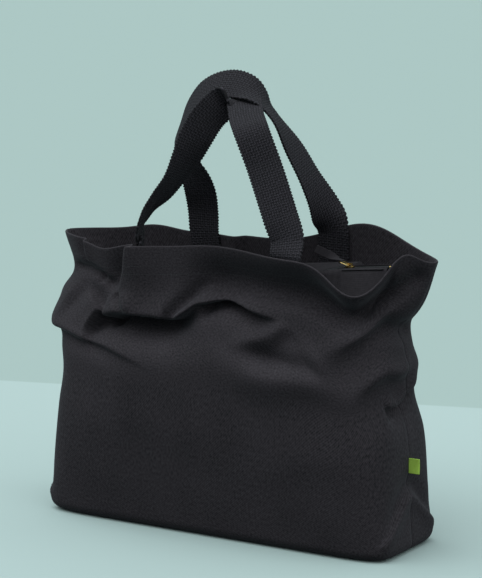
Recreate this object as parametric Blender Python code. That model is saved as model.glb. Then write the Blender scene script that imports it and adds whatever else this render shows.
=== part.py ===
"""Foldable cotton tote bag with a recessed zip, two webbing handles and a side label.

Metres, +Z up. The width runs along X, the front faces -Y, and the origin is the middle of the
base on the floor. The cloth pieces share one wall surface, so every layer follows the layer
that it is sewn to.
"""
import math
from typing import NamedTuple

import bmesh
import bpy
import numpy as np
from mathutils import Matrix, Vector

FRONT = -1.0
BACK = 1.0

# Body
BASE_WIDTH = 0.446
BASE_DEPTH = 0.136
BODY_HEIGHT = 0.326
FLOOR_ROUND = 0.012
CLOTH = 0.0012
FACING_CLOTH = 0.0008
LAYER_GAP = 0.0004
SEAM_GAP = 0.0004
HEM_DEPTH = 0.050
FACING_END = 0.029
HEM_PUSH_START = 0.55
SEAM_FADE = 6
ROUND_MIDDLE = 0.29
WALL_COLUMNS = 40
LOWER_ROWS = 5
FOLD_ROWS = 13
HEM_ROWS = 3
FOLDED_FROM = 0.50
FOLD_END = 0.045
FOLD_STEP = 1.5
FOLD_TOP = 0.012
OUTLINE_SAMPLES = 721

# Side seam tapes
SEAM_TAPE_WIDTH = 0.014
SEAM_TAPE_THICKNESS = 0.0006
SEAM_TAPE_LOW = 0.030
SEAM_TAPE_HIGH = 0.180

# Handles
WEBBING_WIDTH = 0.040
WEBBING_THICKNESS = 0.0025
SEWN_MARGIN = 0.008
WEBBING_STAND = 0.006
HINGE_GAP = 0.0003
FRONT_HANDLE_LEFT = -0.108
FRONT_HANDLE_RIGHT = 0.103
BACK_HANDLE_LEFT = -0.097
BACK_HANDLE_RIGHT = 0.092
RIBBON_STATIONS = 48

# Zip
ZIP_LEFT_MARGIN = 0.065
ZIP_RIGHT_MARGIN = 0.031
ZIP_SHUT_LENGTH = 0.050
ZIP_Y = 0.004
ZIP_DROP = 0.015
ZIP_RISE = math.radians(6.0)
ZIP_OPEN_ANGLE = math.radians(70.0)
ZIP_TURN_LENGTH = 0.120
FLAP_FRONT_MARGIN = 0.028
FLAP_BACK_MARGIN = 0.034
FLAP_RISE = 0.003
FLAP_STATIONS = 18
STRIP_MARGIN = 0.0034
STRIP_END_MARGIN = 0.004
TAPE_WIDTH = 0.013
TAPE_THICKNESS = 0.0006
COIL_WIDTH = 0.0023
COIL_THICKNESS = 0.0024
STOP_LENGTH = 0.003
STOP_LAP = 0.0005
EDGE_GAP = 0.0003
FLAP_GAP = 0.0006

# Slider and pull
SLIDER_LENGTH = 0.011
SLIDER_FLARE = 0.00105
SLIDER_SHOULDER = 0.0022
SLIDER_PLATE = 0.0011
SLIDER_FLANGE = 0.0006
CHANNEL_GAP = 0.0003
SLIDER_POST = 0.0027
SLIDER_POST_WIDTH = 0.0020
BRIDGE_LENGTH = 0.0070
BRIDGE_WIDTH = 0.0022
BRIDGE_BAR = 0.0013
LINK_WIRE = 0.0014
LINK_WIRE_SIDES = 6
LINK_LENGTH = 0.011
LINK_CORNER = 0.0022
LINK_CORNER_POINTS = 4
LINK_SEAT = 0.0004
LINK_SIDE_GAP = 0.00025
TAB_LENGTH = 0.034
TAB_OVERHANG = 0.001
TAB_THICKNESS = 0.0024
TAB_EYE_WALL = 0.0011
TAB_EYE_CLEARANCE = 0.00035
TAB_EYE_STEPS = 12
PULL_RISE = math.radians(24.0)

# Side label
LABEL_LENGTH = 0.012
LABEL_HEIGHT = 0.017
LABEL_THICKNESS = 0.0010
LABEL_LOW = 0.089
LABEL_GAP = 0.0004


class Level(NamedTuple):
    """Shape of the body at one height: growth over the base on each side, and squareness."""

    share: float
    left: float
    right: float
    front: float
    back: float
    power: float
    root: float


LEVELS = (
    Level(0.00, 0.009, 0.004, 0.003, 0.000, 9.0, 0.11),
    Level(0.20, 0.005, -0.001, 0.010, 0.005, 7.0, 0.16),
    Level(0.40, 0.001, -0.004, 0.014, 0.007, 5.5, 0.22),
    Level(0.54, -0.001, -0.013, 0.013, 0.005, 4.8, 0.27),
    Level(0.63, 0.009, -0.005, 0.011, 0.005, 4.3, 0.32),
    Level(0.70, 0.025, -0.009, 0.006, 0.003, 3.9, 0.38),
    Level(0.78, 0.012, -0.006, 0.000, 0.002, 3.6, 0.45),
    Level(0.86, 0.002, 0.011, -0.004, 0.000, 3.4, 0.52),
    Level(1.00, 0.018, 0.029, -0.002, -0.006, 3.4, 0.62),
)


class HemShift(NamedTuple):
    """A rise or dip of the hem and its push outwards, at a place along the panel."""

    side: float
    along: float
    reach: float
    rise: float
    out: float


HEM_SHIFTS = (
    HemShift(FRONT, 0.195, 0.030, -0.034, 0.008),
    HemShift(FRONT, 0.248, 0.020, 0.014, 0.000),
    HemShift(FRONT, -0.118, 0.026, 0.000, 0.010),
    HemShift(FRONT, 0.000, 0.060, 0.004, -0.016),
    HemShift(BACK, 0.140, 0.072, 0.027, 0.002),
)


class Fold(NamedTuple):
    """A fold of a panel: its line as shares of width and height, its crest, the hollow below, reaches."""

    side: float
    line: tuple
    crest: float
    hollow: float
    above: float
    edge: float
    below: float


FOLDS = (
    # Overhang under the front hem, over a deep hollow, and the nose at its right.
    Fold(FRONT, ((0.19, 0.795), (0.26, 0.776), (0.32, 0.770), (0.38, 0.761), (0.43, 0.758), (0.50, 0.785)),
         0.006, 0.014, 0.015, 0.006, 0.017),
    Fold(FRONT, ((0.46, 0.776), (0.52, 0.800), (0.58, 0.800), (0.65, 0.785), (0.73, 0.765)),
         0.004, 0.009, 0.012, 0.006, 0.012),
    # Broad ridge that runs up to the front's right corner, and the hollows above it.
    Fold(FRONT, ((0.53, 0.640), (0.62, 0.598), (0.68, 0.574), (0.74, 0.590), (0.79, 0.655), (0.86, 0.736),
                 (0.95, 0.800)), 0.006, 0.003, 0.020, 0.010, 0.020),
    Fold(FRONT, ((0.57, 0.680), (0.66, 0.672), (0.73, 0.666), (0.78, 0.700), (0.84, 0.765)),
         -0.006, 0.0, 0.012, 0.012, 0.012),
    Fold(FRONT, ((0.66, 0.790), (0.75, 0.785), (0.83, 0.800), (0.90, 0.825)),
         -0.006, 0.0, 0.012, 0.012, 0.012),
    # Full lump of the front's left side.
    Fold(FRONT, ((0.02, 0.800), (0.09, 0.788), (0.16, 0.767)),
         0.006, 0.0, 0.018, 0.020, 0.018),
    # Overhang of the back and the broad ridge below it.
    Fold(BACK, ((0.17, 0.767), (0.29, 0.745), (0.41, 0.755), (0.55, 0.773), (0.69, 0.761), (0.79, 0.736)),
         0.004, 0.009, 0.016, 0.0065, 0.018),
    Fold(BACK, ((0.24, 0.600), (0.40, 0.571), (0.53, 0.589), (0.65, 0.632), (0.76, 0.693)),
         0.004, 0.002, 0.020, 0.012, 0.018),
)


class RoutePoint(NamedTuple):
    """A point of a handle: share of its span, reach backwards, height, and width direction."""

    share: float
    back: float
    up: float
    across: tuple


FRONT_ROUTE = (
    RoutePoint(-0.012, 0.010, 0.014, (-0.78, 0.62, -0.10)),
    RoutePoint(0.004, 0.020, 0.031, (-0.30, 0.94, -0.12)),
    RoutePoint(0.087, 0.025, 0.050, (-0.04, 0.97, -0.20)),
    RoutePoint(0.169, 0.028, 0.071, (0.04, 0.97, -0.25)),
    RoutePoint(0.235, 0.033, 0.093, (0.21, 0.91, -0.35)),
    RoutePoint(0.288, 0.039, 0.115, (0.42, 0.78, -0.46)),
    RoutePoint(0.375, 0.045, 0.140, (0.43, 0.72, -0.54)),
    RoutePoint(0.463, 0.048, 0.154, (0.45, 0.78, -0.42)),
    RoutePoint(0.538, 0.044, 0.159, (0.60, 0.76, -0.24)),
    RoutePoint(0.594, 0.034, 0.155, (0.72, 0.68, -0.10)),
    RoutePoint(0.631, 0.028, 0.147, (0.74, 0.66, 0.06)),
    RoutePoint(0.685, 0.022, 0.133, (0.76, 0.60, 0.24)),
    RoutePoint(0.799, 0.016, 0.090, (0.80, 0.51, 0.31)),
    RoutePoint(0.937, 0.005, 0.036, (0.88, 0.43, 0.20)),
    RoutePoint(0.989, 0.001, 0.014, (0.98, 0.12, 0.05)),
)
BACK_ROUTE = (
    RoutePoint(0.001, -0.004, 0.022, (-0.99, -0.10, 0.00)),
    RoutePoint(0.012, -0.014, 0.047, (-0.96, -0.10, -0.15)),
    RoutePoint(-0.014, -0.024, 0.072, (-0.90, 0.28, -0.32)),
    RoutePoint(-0.100, -0.030, 0.094, (-0.66, 0.74, 0.10)),
    RoutePoint(-0.034, -0.038, 0.122, (-0.51, 0.77, 0.38)),
    RoutePoint(0.038, -0.041, 0.145, (-0.46, 0.76, 0.46)),
    RoutePoint(0.138, -0.043, 0.160, (-0.36, 0.70, 0.61)),
    RoutePoint(0.279, -0.043, 0.168, (-0.17, 0.70, 0.69)),
    RoutePoint(0.407, -0.043, 0.166, (0.02, 0.69, 0.72)),
    RoutePoint(0.508, -0.043, 0.160, (0.06, 0.82, 0.57)),
    RoutePoint(0.585, -0.042, 0.151, (-0.08, 0.95, 0.28)),
    RoutePoint(0.641, -0.040, 0.138, (-0.30, 0.95, 0.05)),
    RoutePoint(0.682, -0.037, 0.126, (-0.36, 0.93, 0.04)),
    RoutePoint(0.794, -0.028, 0.087, (-0.11, 0.97, 0.23)),
    RoutePoint(0.918, -0.015, 0.044, (0.20, 0.93, 0.30)),
    RoutePoint(0.985, -0.006, 0.016, (0.75, 0.64, 0.12)),
)

# Fits worked out from the sizes above
PANEL_WIDTH = BASE_WIDTH + BASE_DEPTH
FACING_DEPTH = CLOTH + LAYER_GAP
WEBBING_DEPTH = FACING_DEPTH + FACING_CLOTH + LAYER_GAP
HEM_SHARE = 1.0 - HEM_DEPTH / BODY_HEIGHT
SEWN_SHARE = 1.0 - (HEM_DEPTH - SEWN_MARGIN) / BODY_HEIGHT
STRIP_SHARE = HEM_SHARE + STRIP_MARGIN / BODY_HEIGHT
STAND_SHARE = 1.0 + WEBBING_STAND / BODY_HEIGHT
ROUND_SHARE = FLOOR_ROUND / BODY_HEIGHT
WALL_ROWS = (
    0.0,
    ROUND_MIDDLE * ROUND_SHARE,
    *np.linspace(ROUND_SHARE, FOLDED_FROM, LOWER_ROWS, endpoint=False),
    *np.linspace(FOLDED_FROM, HEM_SHARE, FOLD_ROWS + 1),
    *np.linspace(SEWN_SHARE, 1.0, HEM_ROWS + 1),
)
ZIP_SLIDER_X = BASE_WIDTH / 2 - ZIP_RIGHT_MARGIN - ZIP_SHUT_LENGTH
ZIP_OPEN_LENGTH = BASE_WIDTH / 2 - ZIP_LEFT_MARGIN + ZIP_SLIDER_X
ZIP_Z = BODY_HEIGHT - ZIP_DROP
STOP_THICKNESS = COIL_THICKNESS + 2 * STOP_LAP
SLIDER_CHANNEL = COIL_THICKNESS + 2 * CHANNEL_GAP
SLIDER_REAR = 2 * (COIL_WIDTH + CHANNEL_GAP + SLIDER_FLANGE)
SLIDER_WIDTH = SLIDER_REAR + 2 * SLIDER_FLARE
SLOT_HEIGHT = LINK_WIRE + 2 * LINK_SEAT
PIVOT_Z = SLIDER_CHANNEL / 2 + SLIDER_PLATE + SLOT_HEIGHT / 2
LINK_WIDTH = SLIDER_WIDTH + LINK_WIRE + 2 * LINK_SIDE_GAP
TAB_WIDTH = LINK_WIDTH - 2 * LINK_CORNER + 2 * TAB_OVERHANG
WEBBING_EDGES = (-WEBBING_WIDTH / 2, WEBBING_WIDTH / 2)


def clear_scene():
    """Remove whatever objects the scene starts with."""
    for thing in list(bpy.data.objects):
        bpy.data.objects.remove(thing, do_unlink=True)


def material(name, colour, roughness, metallic=0.0):
    """Make a Principled BSDF material."""
    made = bpy.data.materials.new(name)
    made.use_nodes = True
    shader = made.node_tree.nodes["Principled BSDF"]
    shader.inputs["Base Color"].default_value = (*colour, 1.0)
    shader.inputs["Roughness"].default_value = roughness
    shader.inputs["Metallic"].default_value = metallic
    return made


def smooth_between(at, places, values):
    """Interpolate values with a smooth curve through the given places."""
    places = np.asarray(places)
    values = np.asarray(values)
    slopes = np.gradient(values, places)
    at = np.clip(at, places[0], places[-1])
    low = np.clip(np.searchsorted(places, at, side="right") - 1, 0, len(places) - 2)
    width = places[low + 1] - places[low]
    t = (at - places[low]) / width
    start = values[low] * (1 + 2 * t) * (1 - t) ** 2
    end = values[low + 1] * t * t * (3 - 2 * t)
    lean = slopes[low] * t * (1 - t) ** 2 + slopes[low + 1] * t * t * (t - 1)
    return start + end + width * lean


def ease(t):
    """Ramp from 0 to 1 with flat ends."""
    t = np.clip(t, 0.0, 1.0)
    return t * t * (3 - 2 * t)


def half_outline(side, share, inset=0.0):
    """Plan of one half of the body at a share of its height, from left seam to right seam."""
    shares = [level.share for level in LEVELS]
    height = share * BODY_HEIGHT
    if height < FLOOR_ROUND:
        inset += FLOOR_ROUND - math.sqrt(FLOOR_ROUND ** 2 - (FLOOR_ROUND - height) ** 2)
    left, right, front, back, power, root = (
        float(smooth_between(share, shares, [getattr(level, field) for level in LEVELS]))
        for field in Level._fields[1:]
    )
    depth = BASE_DEPTH / 2 + (front if side == FRONT else back) - inset
    half_left = BASE_WIDTH / 2 + left - inset
    half_right = BASE_WIDTH / 2 + right - inset
    t = -np.cos(np.linspace(0.0, math.pi, OUTLINE_SAMPLES))
    x = np.where(t < 0, half_left, half_right) * t
    y = side * depth * (1 - np.abs(t) ** power).clip(0) ** root
    return x, y


def along_outline(u, x, y):
    """Points at shares of the length of a plan outline."""
    arc = np.concatenate([[0.0], np.cumsum(np.hypot(np.diff(x), np.diff(y)))])
    return np.interp(u * arc[-1], arc, x), np.interp(u * arc[-1], arc, y)


def fold_move(side, u, v):
    """How far the folds of a panel move its cloth outwards."""
    moved = np.zeros_like(u)
    for fold in FOLDS:
        if fold.side == side:
            places, heights = zip(*fold.line)
            above = (v - smooth_between(u, places, heights)) * BODY_HEIGHT
            crest = np.exp(-(above / np.where(above > 0, fold.above, fold.edge)) ** 2)
            past = above + FOLD_STEP * fold.edge
            hollow = np.exp(-(past / np.where(past > 0, fold.edge, fold.below)) ** 2)
            ends = np.minimum(u - places[0], places[-1] - u) * PANEL_WIDTH
            moved += ease(ends / FOLD_END) * (fold.crest * crest - fold.hollow * hollow)
    return moved * ease((HEM_SHARE - v) * BODY_HEIGHT / FOLD_TOP)


def wall(side, u, v):
    """Outer face of a panel: u runs from left seam to right seam, v from floor to hem."""
    u = np.atleast_1d(np.asarray(u, float))
    px, py = along_outline(u, *half_outline(side, min(v, 1.0)))
    rise = np.zeros_like(u)
    out = np.zeros_like(u)
    along = (u - 0.5) * PANEL_WIDTH
    for shift in HEM_SHIFTS:
        if shift.side == side:
            near = np.exp(-((along - shift.along) / shift.reach) ** 2)
            rise += shift.rise * near
            out += shift.out * near
    seam_fade = 1 - np.abs(2 * u - 1) ** SEAM_FADE
    pushed = out * ease((v - HEM_PUSH_START) / (1 - HEM_PUSH_START)) + fold_move(side, u, v)
    py = py + side * pushed * seam_fade
    pz = v * (BODY_HEIGHT + rise)
    return np.stack([px, keep_side(side, py), pz], axis=-1)


def keep_side(side, y):
    """Hold a panel's points on its own side of the seam plane."""
    return side * np.maximum(side * y, SEAM_GAP / 2)


def wall_normal(side, u, v, step=1e-3):
    """Outward normals of a panel at given places."""
    u = np.atleast_1d(np.asarray(u, float))
    along = wall(side, np.minimum(u + step, 1), v) - wall(side, np.maximum(u - step, 0), v)
    up = wall(side, u, v + step) - wall(side, u, max(v - step, 0.0))
    normal = np.cross(along, up)
    normal /= np.linalg.norm(normal, axis=-1, keepdims=True)
    return -side * normal


def wall_at(side, u, v, depth):
    """Points at a depth inside the outer face of a panel."""
    point = wall(side, u, v) - wall_normal(side, u, v) * depth
    point[:, 1] = keep_side(side, point[:, 1])
    return point


def u_of(along):
    """Share of a panel's width at a distance from its middle."""
    return 0.5 + along / PANEL_WIDTH


def column_knots(side):
    """Columns shared by all the layers of one side, with lines on the handles' edges."""
    middles = {
        FRONT: (FRONT_HANDLE_LEFT, FRONT_HANDLE_RIGHT),
        BACK: (BACK_HANDLE_LEFT, BACK_HANDLE_RIGHT),
    }[side]
    edges = [u_of(middle + sign * WEBBING_WIDTH / 2) for middle in middles for sign in (-1, 0, 1)]
    stops = [0.0, *sorted(edges), 1.0]
    knots = [0.0]
    for low, high in zip(stops, stops[1:]):
        pieces = max(1, round((high - low) * WALL_COLUMNS))
        knots += list(np.linspace(low, high, pieces + 1)[1:])
    return np.array(knots)


def seam_x(end, heights):
    """X of a side seam at given heights; end is -1 for the left seam, 1 for the right."""
    rows = [wall(FRONT, 0.5 + end / 2, row)[0] for row in WALL_ROWS]
    return np.interp(heights, [row[2] for row in rows], [row[0] for row in rows])


def seam_heights(low, high):
    """Two heights and the rows of the wall between them."""
    between = [row * BODY_HEIGHT for row in WALL_ROWS if low < row * BODY_HEIGHT < high]
    return np.array([low, *between, high])


def link_object(name, mesh, finish, origin=None):
    """Put a mesh in the scene under a name, with its origin at a given point."""
    if origin is not None:
        mesh.transform(Matrix.Translation(-Vector(origin)))
    mesh.materials.append(finish)
    thing = bpy.data.objects.new(name, mesh)
    bpy.context.scene.collection.objects.link(thing)
    if origin is not None:
        thing.location = origin
    return thing


def finish_mesh(name, bm):
    """Turn a bmesh into a mesh with outward faces."""
    bmesh.ops.recalc_face_normals(bm, faces=bm.faces)
    mesh = bpy.data.meshes.new(name)
    bm.to_mesh(mesh)
    bm.free()
    return mesh


def grid_solid(name, outer, inner):
    """Close the space between two grids of points into one body."""
    rows, columns = outer.shape[:2]
    bm = bmesh.new()
    skins = []
    for grid in (outer, inner):
        skins.append([[bm.verts.new(point) for point in row] for row in grid])
    top, low = skins
    for i in range(rows - 1):
        for j in range(columns - 1):
            bm.faces.new((top[i][j], top[i][j + 1], top[i + 1][j + 1], top[i + 1][j]))
            bm.faces.new((low[i][j], low[i + 1][j], low[i + 1][j + 1], low[i][j + 1]))
    for i in range(rows - 1):
        for j in (0, columns - 1):
            bm.faces.new((top[i][j], top[i + 1][j], low[i + 1][j], low[i][j]))
    for j in range(columns - 1):
        for i in (0, rows - 1):
            bm.faces.new((top[i][j], top[i][j + 1], low[i][j + 1], low[i][j]))
    return finish_mesh(name, bm)


def layer(name, side, knots, margin, rows, depth, thickness, finish):
    """Make a layer of cloth that follows a panel at a depth, short of the seams by a margin."""
    low = margin / PANEL_WIDTH
    inside = knots[(knots > low) & (knots < 1 - low)]
    columns = np.array([low, *inside, 1 - low])
    skins = []
    for skin_depth in (depth, depth + thickness):
        grid = []
        for row in rows:
            line = wall_at(side, knots, row, skin_depth)
            grid.append(np.stack([np.interp(columns, knots, line[:, k]) for k in range(3)], axis=-1))
        skins.append(np.array(grid))
    link_object(name, grid_solid(name, *skins), finish)


def box(name, size, centre):
    """Make a box mesh."""
    bm = bmesh.new()
    bmesh.ops.create_cube(bm, size=1.0)
    bmesh.ops.scale(bm, vec=size, verts=bm.verts)
    bmesh.ops.translate(bm, vec=centre, verts=bm.verts)
    return finish_mesh(name, bm)


def combine(thing, other, operation):
    """Join or cut an object with another that stays hidden."""
    other.hide_render = True
    other.display_type = "WIRE"
    boolean = thing.modifiers.new(other.name, "BOOLEAN")
    boolean.operation = operation
    boolean.solver = "EXACT"
    boolean.object = other


def build_base(finish):
    """Make the base, a flat piece sewn inside the lower edges of the two panels."""
    ring = []
    for side in (FRONT, BACK):
        half = list(zip(*along_outline(column_knots(side), *half_outline(side, 0.0, SEAM_GAP))))
        ring += half[:-1] if side == FRONT else half[:0:-1]
    bm = bmesh.new()
    face = bm.faces.new([bm.verts.new((x, y, 0.0)) for x, y in ring])
    raised = bmesh.ops.extrude_face_region(bm, geom=[face])["geom"]
    corners = [item for item in raised if isinstance(item, bmesh.types.BMVert)]
    bmesh.ops.translate(bm, vec=(0.0, 0.0, CLOTH), verts=corners)
    link_object("base_panel", finish_mesh("base_panel", bm), finish)


def build_seam_tape(name, end, finish):
    """Make the tape that covers a side seam on the inside; end is -1 for left, 1 for right."""
    heights = seam_heights(SEAM_TAPE_LOW, SEAM_TAPE_HIGH)
    edges = (-SEAM_TAPE_WIDTH / 2, SEAM_TAPE_WIDTH / 2)
    skins = []
    for depth in (FACING_DEPTH, FACING_DEPTH + SEAM_TAPE_THICKNESS):
        places = zip(seam_x(end, heights) - end * depth, heights)
        skins.append(np.array([[(x, y, height) for y in edges] for x, height in places]))
    link_object(name, grid_solid(name, *skins), finish)


def orthonormal(tangent, across):
    """Width and thickness directions of a ribbon at one station."""
    tangent = tangent / np.linalg.norm(tangent)
    across = across - tangent * np.dot(across, tangent)
    across = across / np.linalg.norm(across)
    return across, np.cross(tangent, across)


def ribbon_mesh(name, path, across):
    """Sweep the webbing's section along a path, turning with the width directions."""
    stops = np.concatenate([[0.0], np.cumsum(np.linalg.norm(np.diff(path, axis=0), axis=1))])
    at = np.linspace(0.0, stops[-1], RIBBON_STATIONS + 1)
    line = np.stack([smooth_between(at, stops, path[:, k]) for k in range(3)], axis=-1)
    wide = np.stack([smooth_between(at, stops, across[:, k]) for k in range(3)], axis=-1)
    tangents = np.gradient(line, at, axis=0)
    tangents[0] = path[1] - path[0]
    tangents[-1] = path[-1] - path[-2]
    top, low = [], []
    for point, tangent, direction in zip(line, tangents, wide):
        width, thick = orthonormal(tangent, direction)
        edges = [point + width * sign * WEBBING_WIDTH / 2 for sign in (-1, 0, 1)]
        top.append([edge + thick * WEBBING_THICKNESS / 2 for edge in edges])
        low.append([edge - thick * WEBBING_THICKNESS / 2 for edge in edges])
    return grid_solid(name, np.array(top), np.array(low))


def sewn_end(name, side, along, columns, finish):
    """Make the end of a handle that is sewn inside the hem and stands a little above it."""
    first, last = (np.abs(columns - u_of(along + edge)).argmin() for edge in WEBBING_EDGES)
    own = columns[first:last + 1]
    foot_z = wall(side, own, 1.0)[:, 2].max() + WEBBING_STAND
    inner_depth = WEBBING_DEPTH + WEBBING_THICKNESS
    rows = [row for row in WALL_ROWS if row >= SEWN_SHARE]
    skins = []
    for depth in (WEBBING_DEPTH, inner_depth):
        grid = [wall_at(side, own, row, depth) for row in rows]
        grid.append(at_height(wall_at(side, own, STAND_SHARE, depth), foot_z))
        skins.append(np.array(grid))
    link_object(name, grid_solid(name, *skins), finish)
    outer, inner = (skin[-1] for skin in skins)
    middle = len(own) // 2
    foot = (outer[middle] + inner[middle]) / 2
    return foot, outer[-1] - outer[0], outer


def at_height(points, height):
    """Points moved straight up or down to a height."""
    moved = points.copy()
    moved[:, 2] = height
    return moved


def build_handle(name, side, ends, route, columns, finish):
    """Make a handle loop and its two sewn ends; the loop turns on a line just outside its feet."""
    feet = [
        sewn_end(f"{name}_{label}_end", side, along, columns, finish)
        for label, along in zip(("left", "right"), ends)
    ]
    up = np.array([0.0, 0.0, 1.0])
    start, end = (foot[0] + up * HINGE_GAP for foot in feet)
    path = [start, start + up * WEBBING_THICKNESS]
    across = [-feet[0][1], -feet[0][1]]
    for point in route:
        place = start + (end - start) * point.share
        path.append(place + np.array([0.0, point.back, point.up]))
        across.append(np.array(point.across) * WEBBING_WIDTH)
    path += [end + up * WEBBING_THICKNESS, end]
    across += [feet[1][1], feet[1][1]]
    pivot = (start + end) / 2
    axis = (end - start) / np.linalg.norm(end - start)
    outward = np.array([0.0, side, 0.0])
    outer = np.concatenate([foot[2] for foot in feet]) - pivot
    outer -= np.outer(outer @ axis, axis)
    pivot = pivot + outward * ((outer @ outward).max() + HINGE_GAP)
    print(name, "pivot", pivot.round(5).tolist(), "axis", axis.round(5).tolist())
    mesh = ribbon_mesh(name, np.array(path), np.array(across))
    link_object(name, mesh, finish, tuple(pivot))


def zip_frame():
    """Frame of the zip: X along the chain to its shut end, Z out of the bag, origin in the slider."""
    turn = Matrix.Rotation(-ZIP_RISE, 4, "Y")
    return Matrix.Translation((ZIP_SLIDER_X, ZIP_Y, ZIP_Z)) @ turn


def in_zip(points):
    """Points of the world in the zip's frame."""
    back = np.array(zip_frame().inverted())
    return points @ back[:3, :3].T + back[:3, 3]


def zip_object(name, mesh, finish, parent, origin=(0.0, 0.0, 0.0)):
    """Put a mesh that is drawn in the zip's frame in the scene, with its origin at a point."""
    thing = link_object(name, mesh, finish, origin)
    thing.parent = parent
    return thing


def flap_hinge(side):
    """Y and Z of a flap's hinge in the zip's frame."""
    margin = FLAP_FRONT_MARGIN if side == FRONT else FLAP_BACK_MARGIN
    return side * (BASE_DEPTH / 2 - margin), FLAP_RISE


def flap_piece(name, side, span, near, far, thickness, finish, parent):
    """Make a strip of an open flap, between two distances from the zip's chain."""
    hinge_y, hinge_z = flap_hinge(side)
    width = math.hypot(hinge_y, hinge_z)
    shut = np.array([-hinge_y, -hinge_z]) / width
    top, low = [], []
    for x in np.linspace(*span, FLAP_STATIONS):
        drop = side * ZIP_OPEN_ANGLE * ease((-x - SLIDER_LENGTH / 2) / ZIP_TURN_LENGTH)
        turn = np.array([[math.cos(drop), -math.sin(drop)], [math.sin(drop), math.cos(drop)]])
        out = turn @ shut
        normal = np.array([-out[1], out[0]])
        for skin, sign in ((top, 1), (low, -1)):
            points = [np.array([hinge_y, hinge_z]) + out * (width - r) for r in (near, far)]
            skin.append([(x, *(point + normal * sign * thickness / 2)) for point in points])
    mesh = grid_solid(name, np.array(top), np.array(low))
    zip_object(name, mesh, finish, parent, (0.0, hinge_y, hinge_z))


def build_flap(label, side, finishes, parent):
    """Make one open half of the zip: cloth flap, tape, coil and end stop."""
    hinge_y, hinge_z = flap_hinge(side)
    width = math.hypot(hinge_y, hinge_z)
    span = (-ZIP_OPEN_LENGTH, -SLIDER_LENGTH / 2 - EDGE_GAP)
    tape_near = COIL_WIDTH + EDGE_GAP
    tape_far = COIL_WIDTH + TAPE_WIDTH
    flap_piece(
        f"zip_{label}_flap", side, span, tape_far + EDGE_GAP, width - EDGE_GAP,
        FACING_CLOTH, finishes["cloth"], parent,
    )
    flap_piece(
        f"zip_{label}_tape", side, span, tape_near, tape_far, TAPE_THICKNESS, finishes["tape"], parent
    )
    flap_piece(
        f"zip_{label}_coil", side, span, EDGE_GAP / 2, COIL_WIDTH, COIL_THICKNESS,
        finishes["coil"], parent,
    )
    stop = (span[0] - EDGE_GAP - STOP_LENGTH, span[0] - EDGE_GAP)
    flap_piece(
        f"zip_{label}_end_stop", side, stop, EDGE_GAP, COIL_WIDTH + EDGE_GAP, STOP_THICKNESS,
        finishes["brass"], parent,
    )


def build_strip(label, side, knots, finish, parent):
    """Make the sewn strip between a wall and the zip: to the flap's hinge, then to the shut tape."""
    low = FACING_END / PANEL_WIDTH
    columns = knots[(knots > low) & (knots < 1 - low)]
    edge = in_zip(wall_at(side, columns, STRIP_SHARE, WEBBING_DEPTH))
    left = -ZIP_OPEN_LENGTH
    right = ZIP_SHUT_LENGTH + STRIP_END_MARGIN
    turn = -SLIDER_LENGTH / 2
    hinge_y, hinge_z = flap_hinge(side)
    shut_y = side * (COIL_WIDTH + TAPE_WIDTH + EDGE_GAP)
    inside = edge[(edge[:, 0] > left) & (edge[:, 0] < right), 0]
    stations = sorted([*inside, left, turn, turn + EDGE_GAP, right])
    top, low = [], []
    for x in stations:
        y, z = (np.interp(x, edge[:, 0], edge[:, k]) for k in (1, 2))
        inner = (x, hinge_y + side * FLAP_GAP, hinge_z) if x <= turn else (x, shut_y, 0.0)
        ends = np.array([(x, y, z), inner])
        top.append(ends + (0.0, 0.0, FACING_CLOTH / 2))
        low.append(ends - (0.0, 0.0, FACING_CLOTH / 2))
    mesh = grid_solid(f"zip_{label}_strip", np.array(top), np.array(low))
    zip_object(f"zip_{label}_strip", mesh, finish, parent)


def build_shut_end(finishes, parent):
    """Make the shut length of the zip beyond the slider: two tapes, the meshed coil and its stop."""
    start = -SLIDER_LENGTH / 2 + SLIDER_POST + 2 * EDGE_GAP
    length = ZIP_SHUT_LENGTH - start
    middle = start + length / 2
    for label, side in (("front", FRONT), ("back", BACK)):
        centre_y = side * (COIL_WIDTH + EDGE_GAP / 2 + TAPE_WIDTH / 2)
        size = (length, TAPE_WIDTH - EDGE_GAP, TAPE_THICKNESS)
        name = f"zip_{label}_shut_tape"
        zip_object(name, box(name, size, (middle, centre_y, 0.0)), finishes["tape"], parent)
    size = (length, 2 * COIL_WIDTH - EDGE_GAP, COIL_THICKNESS)
    zip_object("zip_shut_coil", box("zip_shut_coil", size, (middle, 0.0, 0.0)), finishes["coil"], parent)
    size = (STOP_LENGTH, 2 * COIL_WIDTH + EDGE_GAP, STOP_THICKNESS)
    centre = (ZIP_SHUT_LENGTH + EDGE_GAP + STOP_LENGTH / 2, 0.0, 0.0)
    zip_object("zip_shut_stop", box("zip_shut_stop", size, centre), finishes["brass"], parent)


def prism(name, outline, low, high):
    """Make a mesh with a flat outline between two heights."""
    bm = bmesh.new()
    face = bm.faces.new([bm.verts.new((x, y, low)) for x, y in outline])
    raised = bmesh.ops.extrude_face_region(bm, geom=[face])["geom"]
    corners = [item for item in raised if isinstance(item, bmesh.types.BMVert)]
    bmesh.ops.translate(bm, vec=(0.0, 0.0, high - low), verts=corners)
    return finish_mesh(name, bm)


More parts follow.
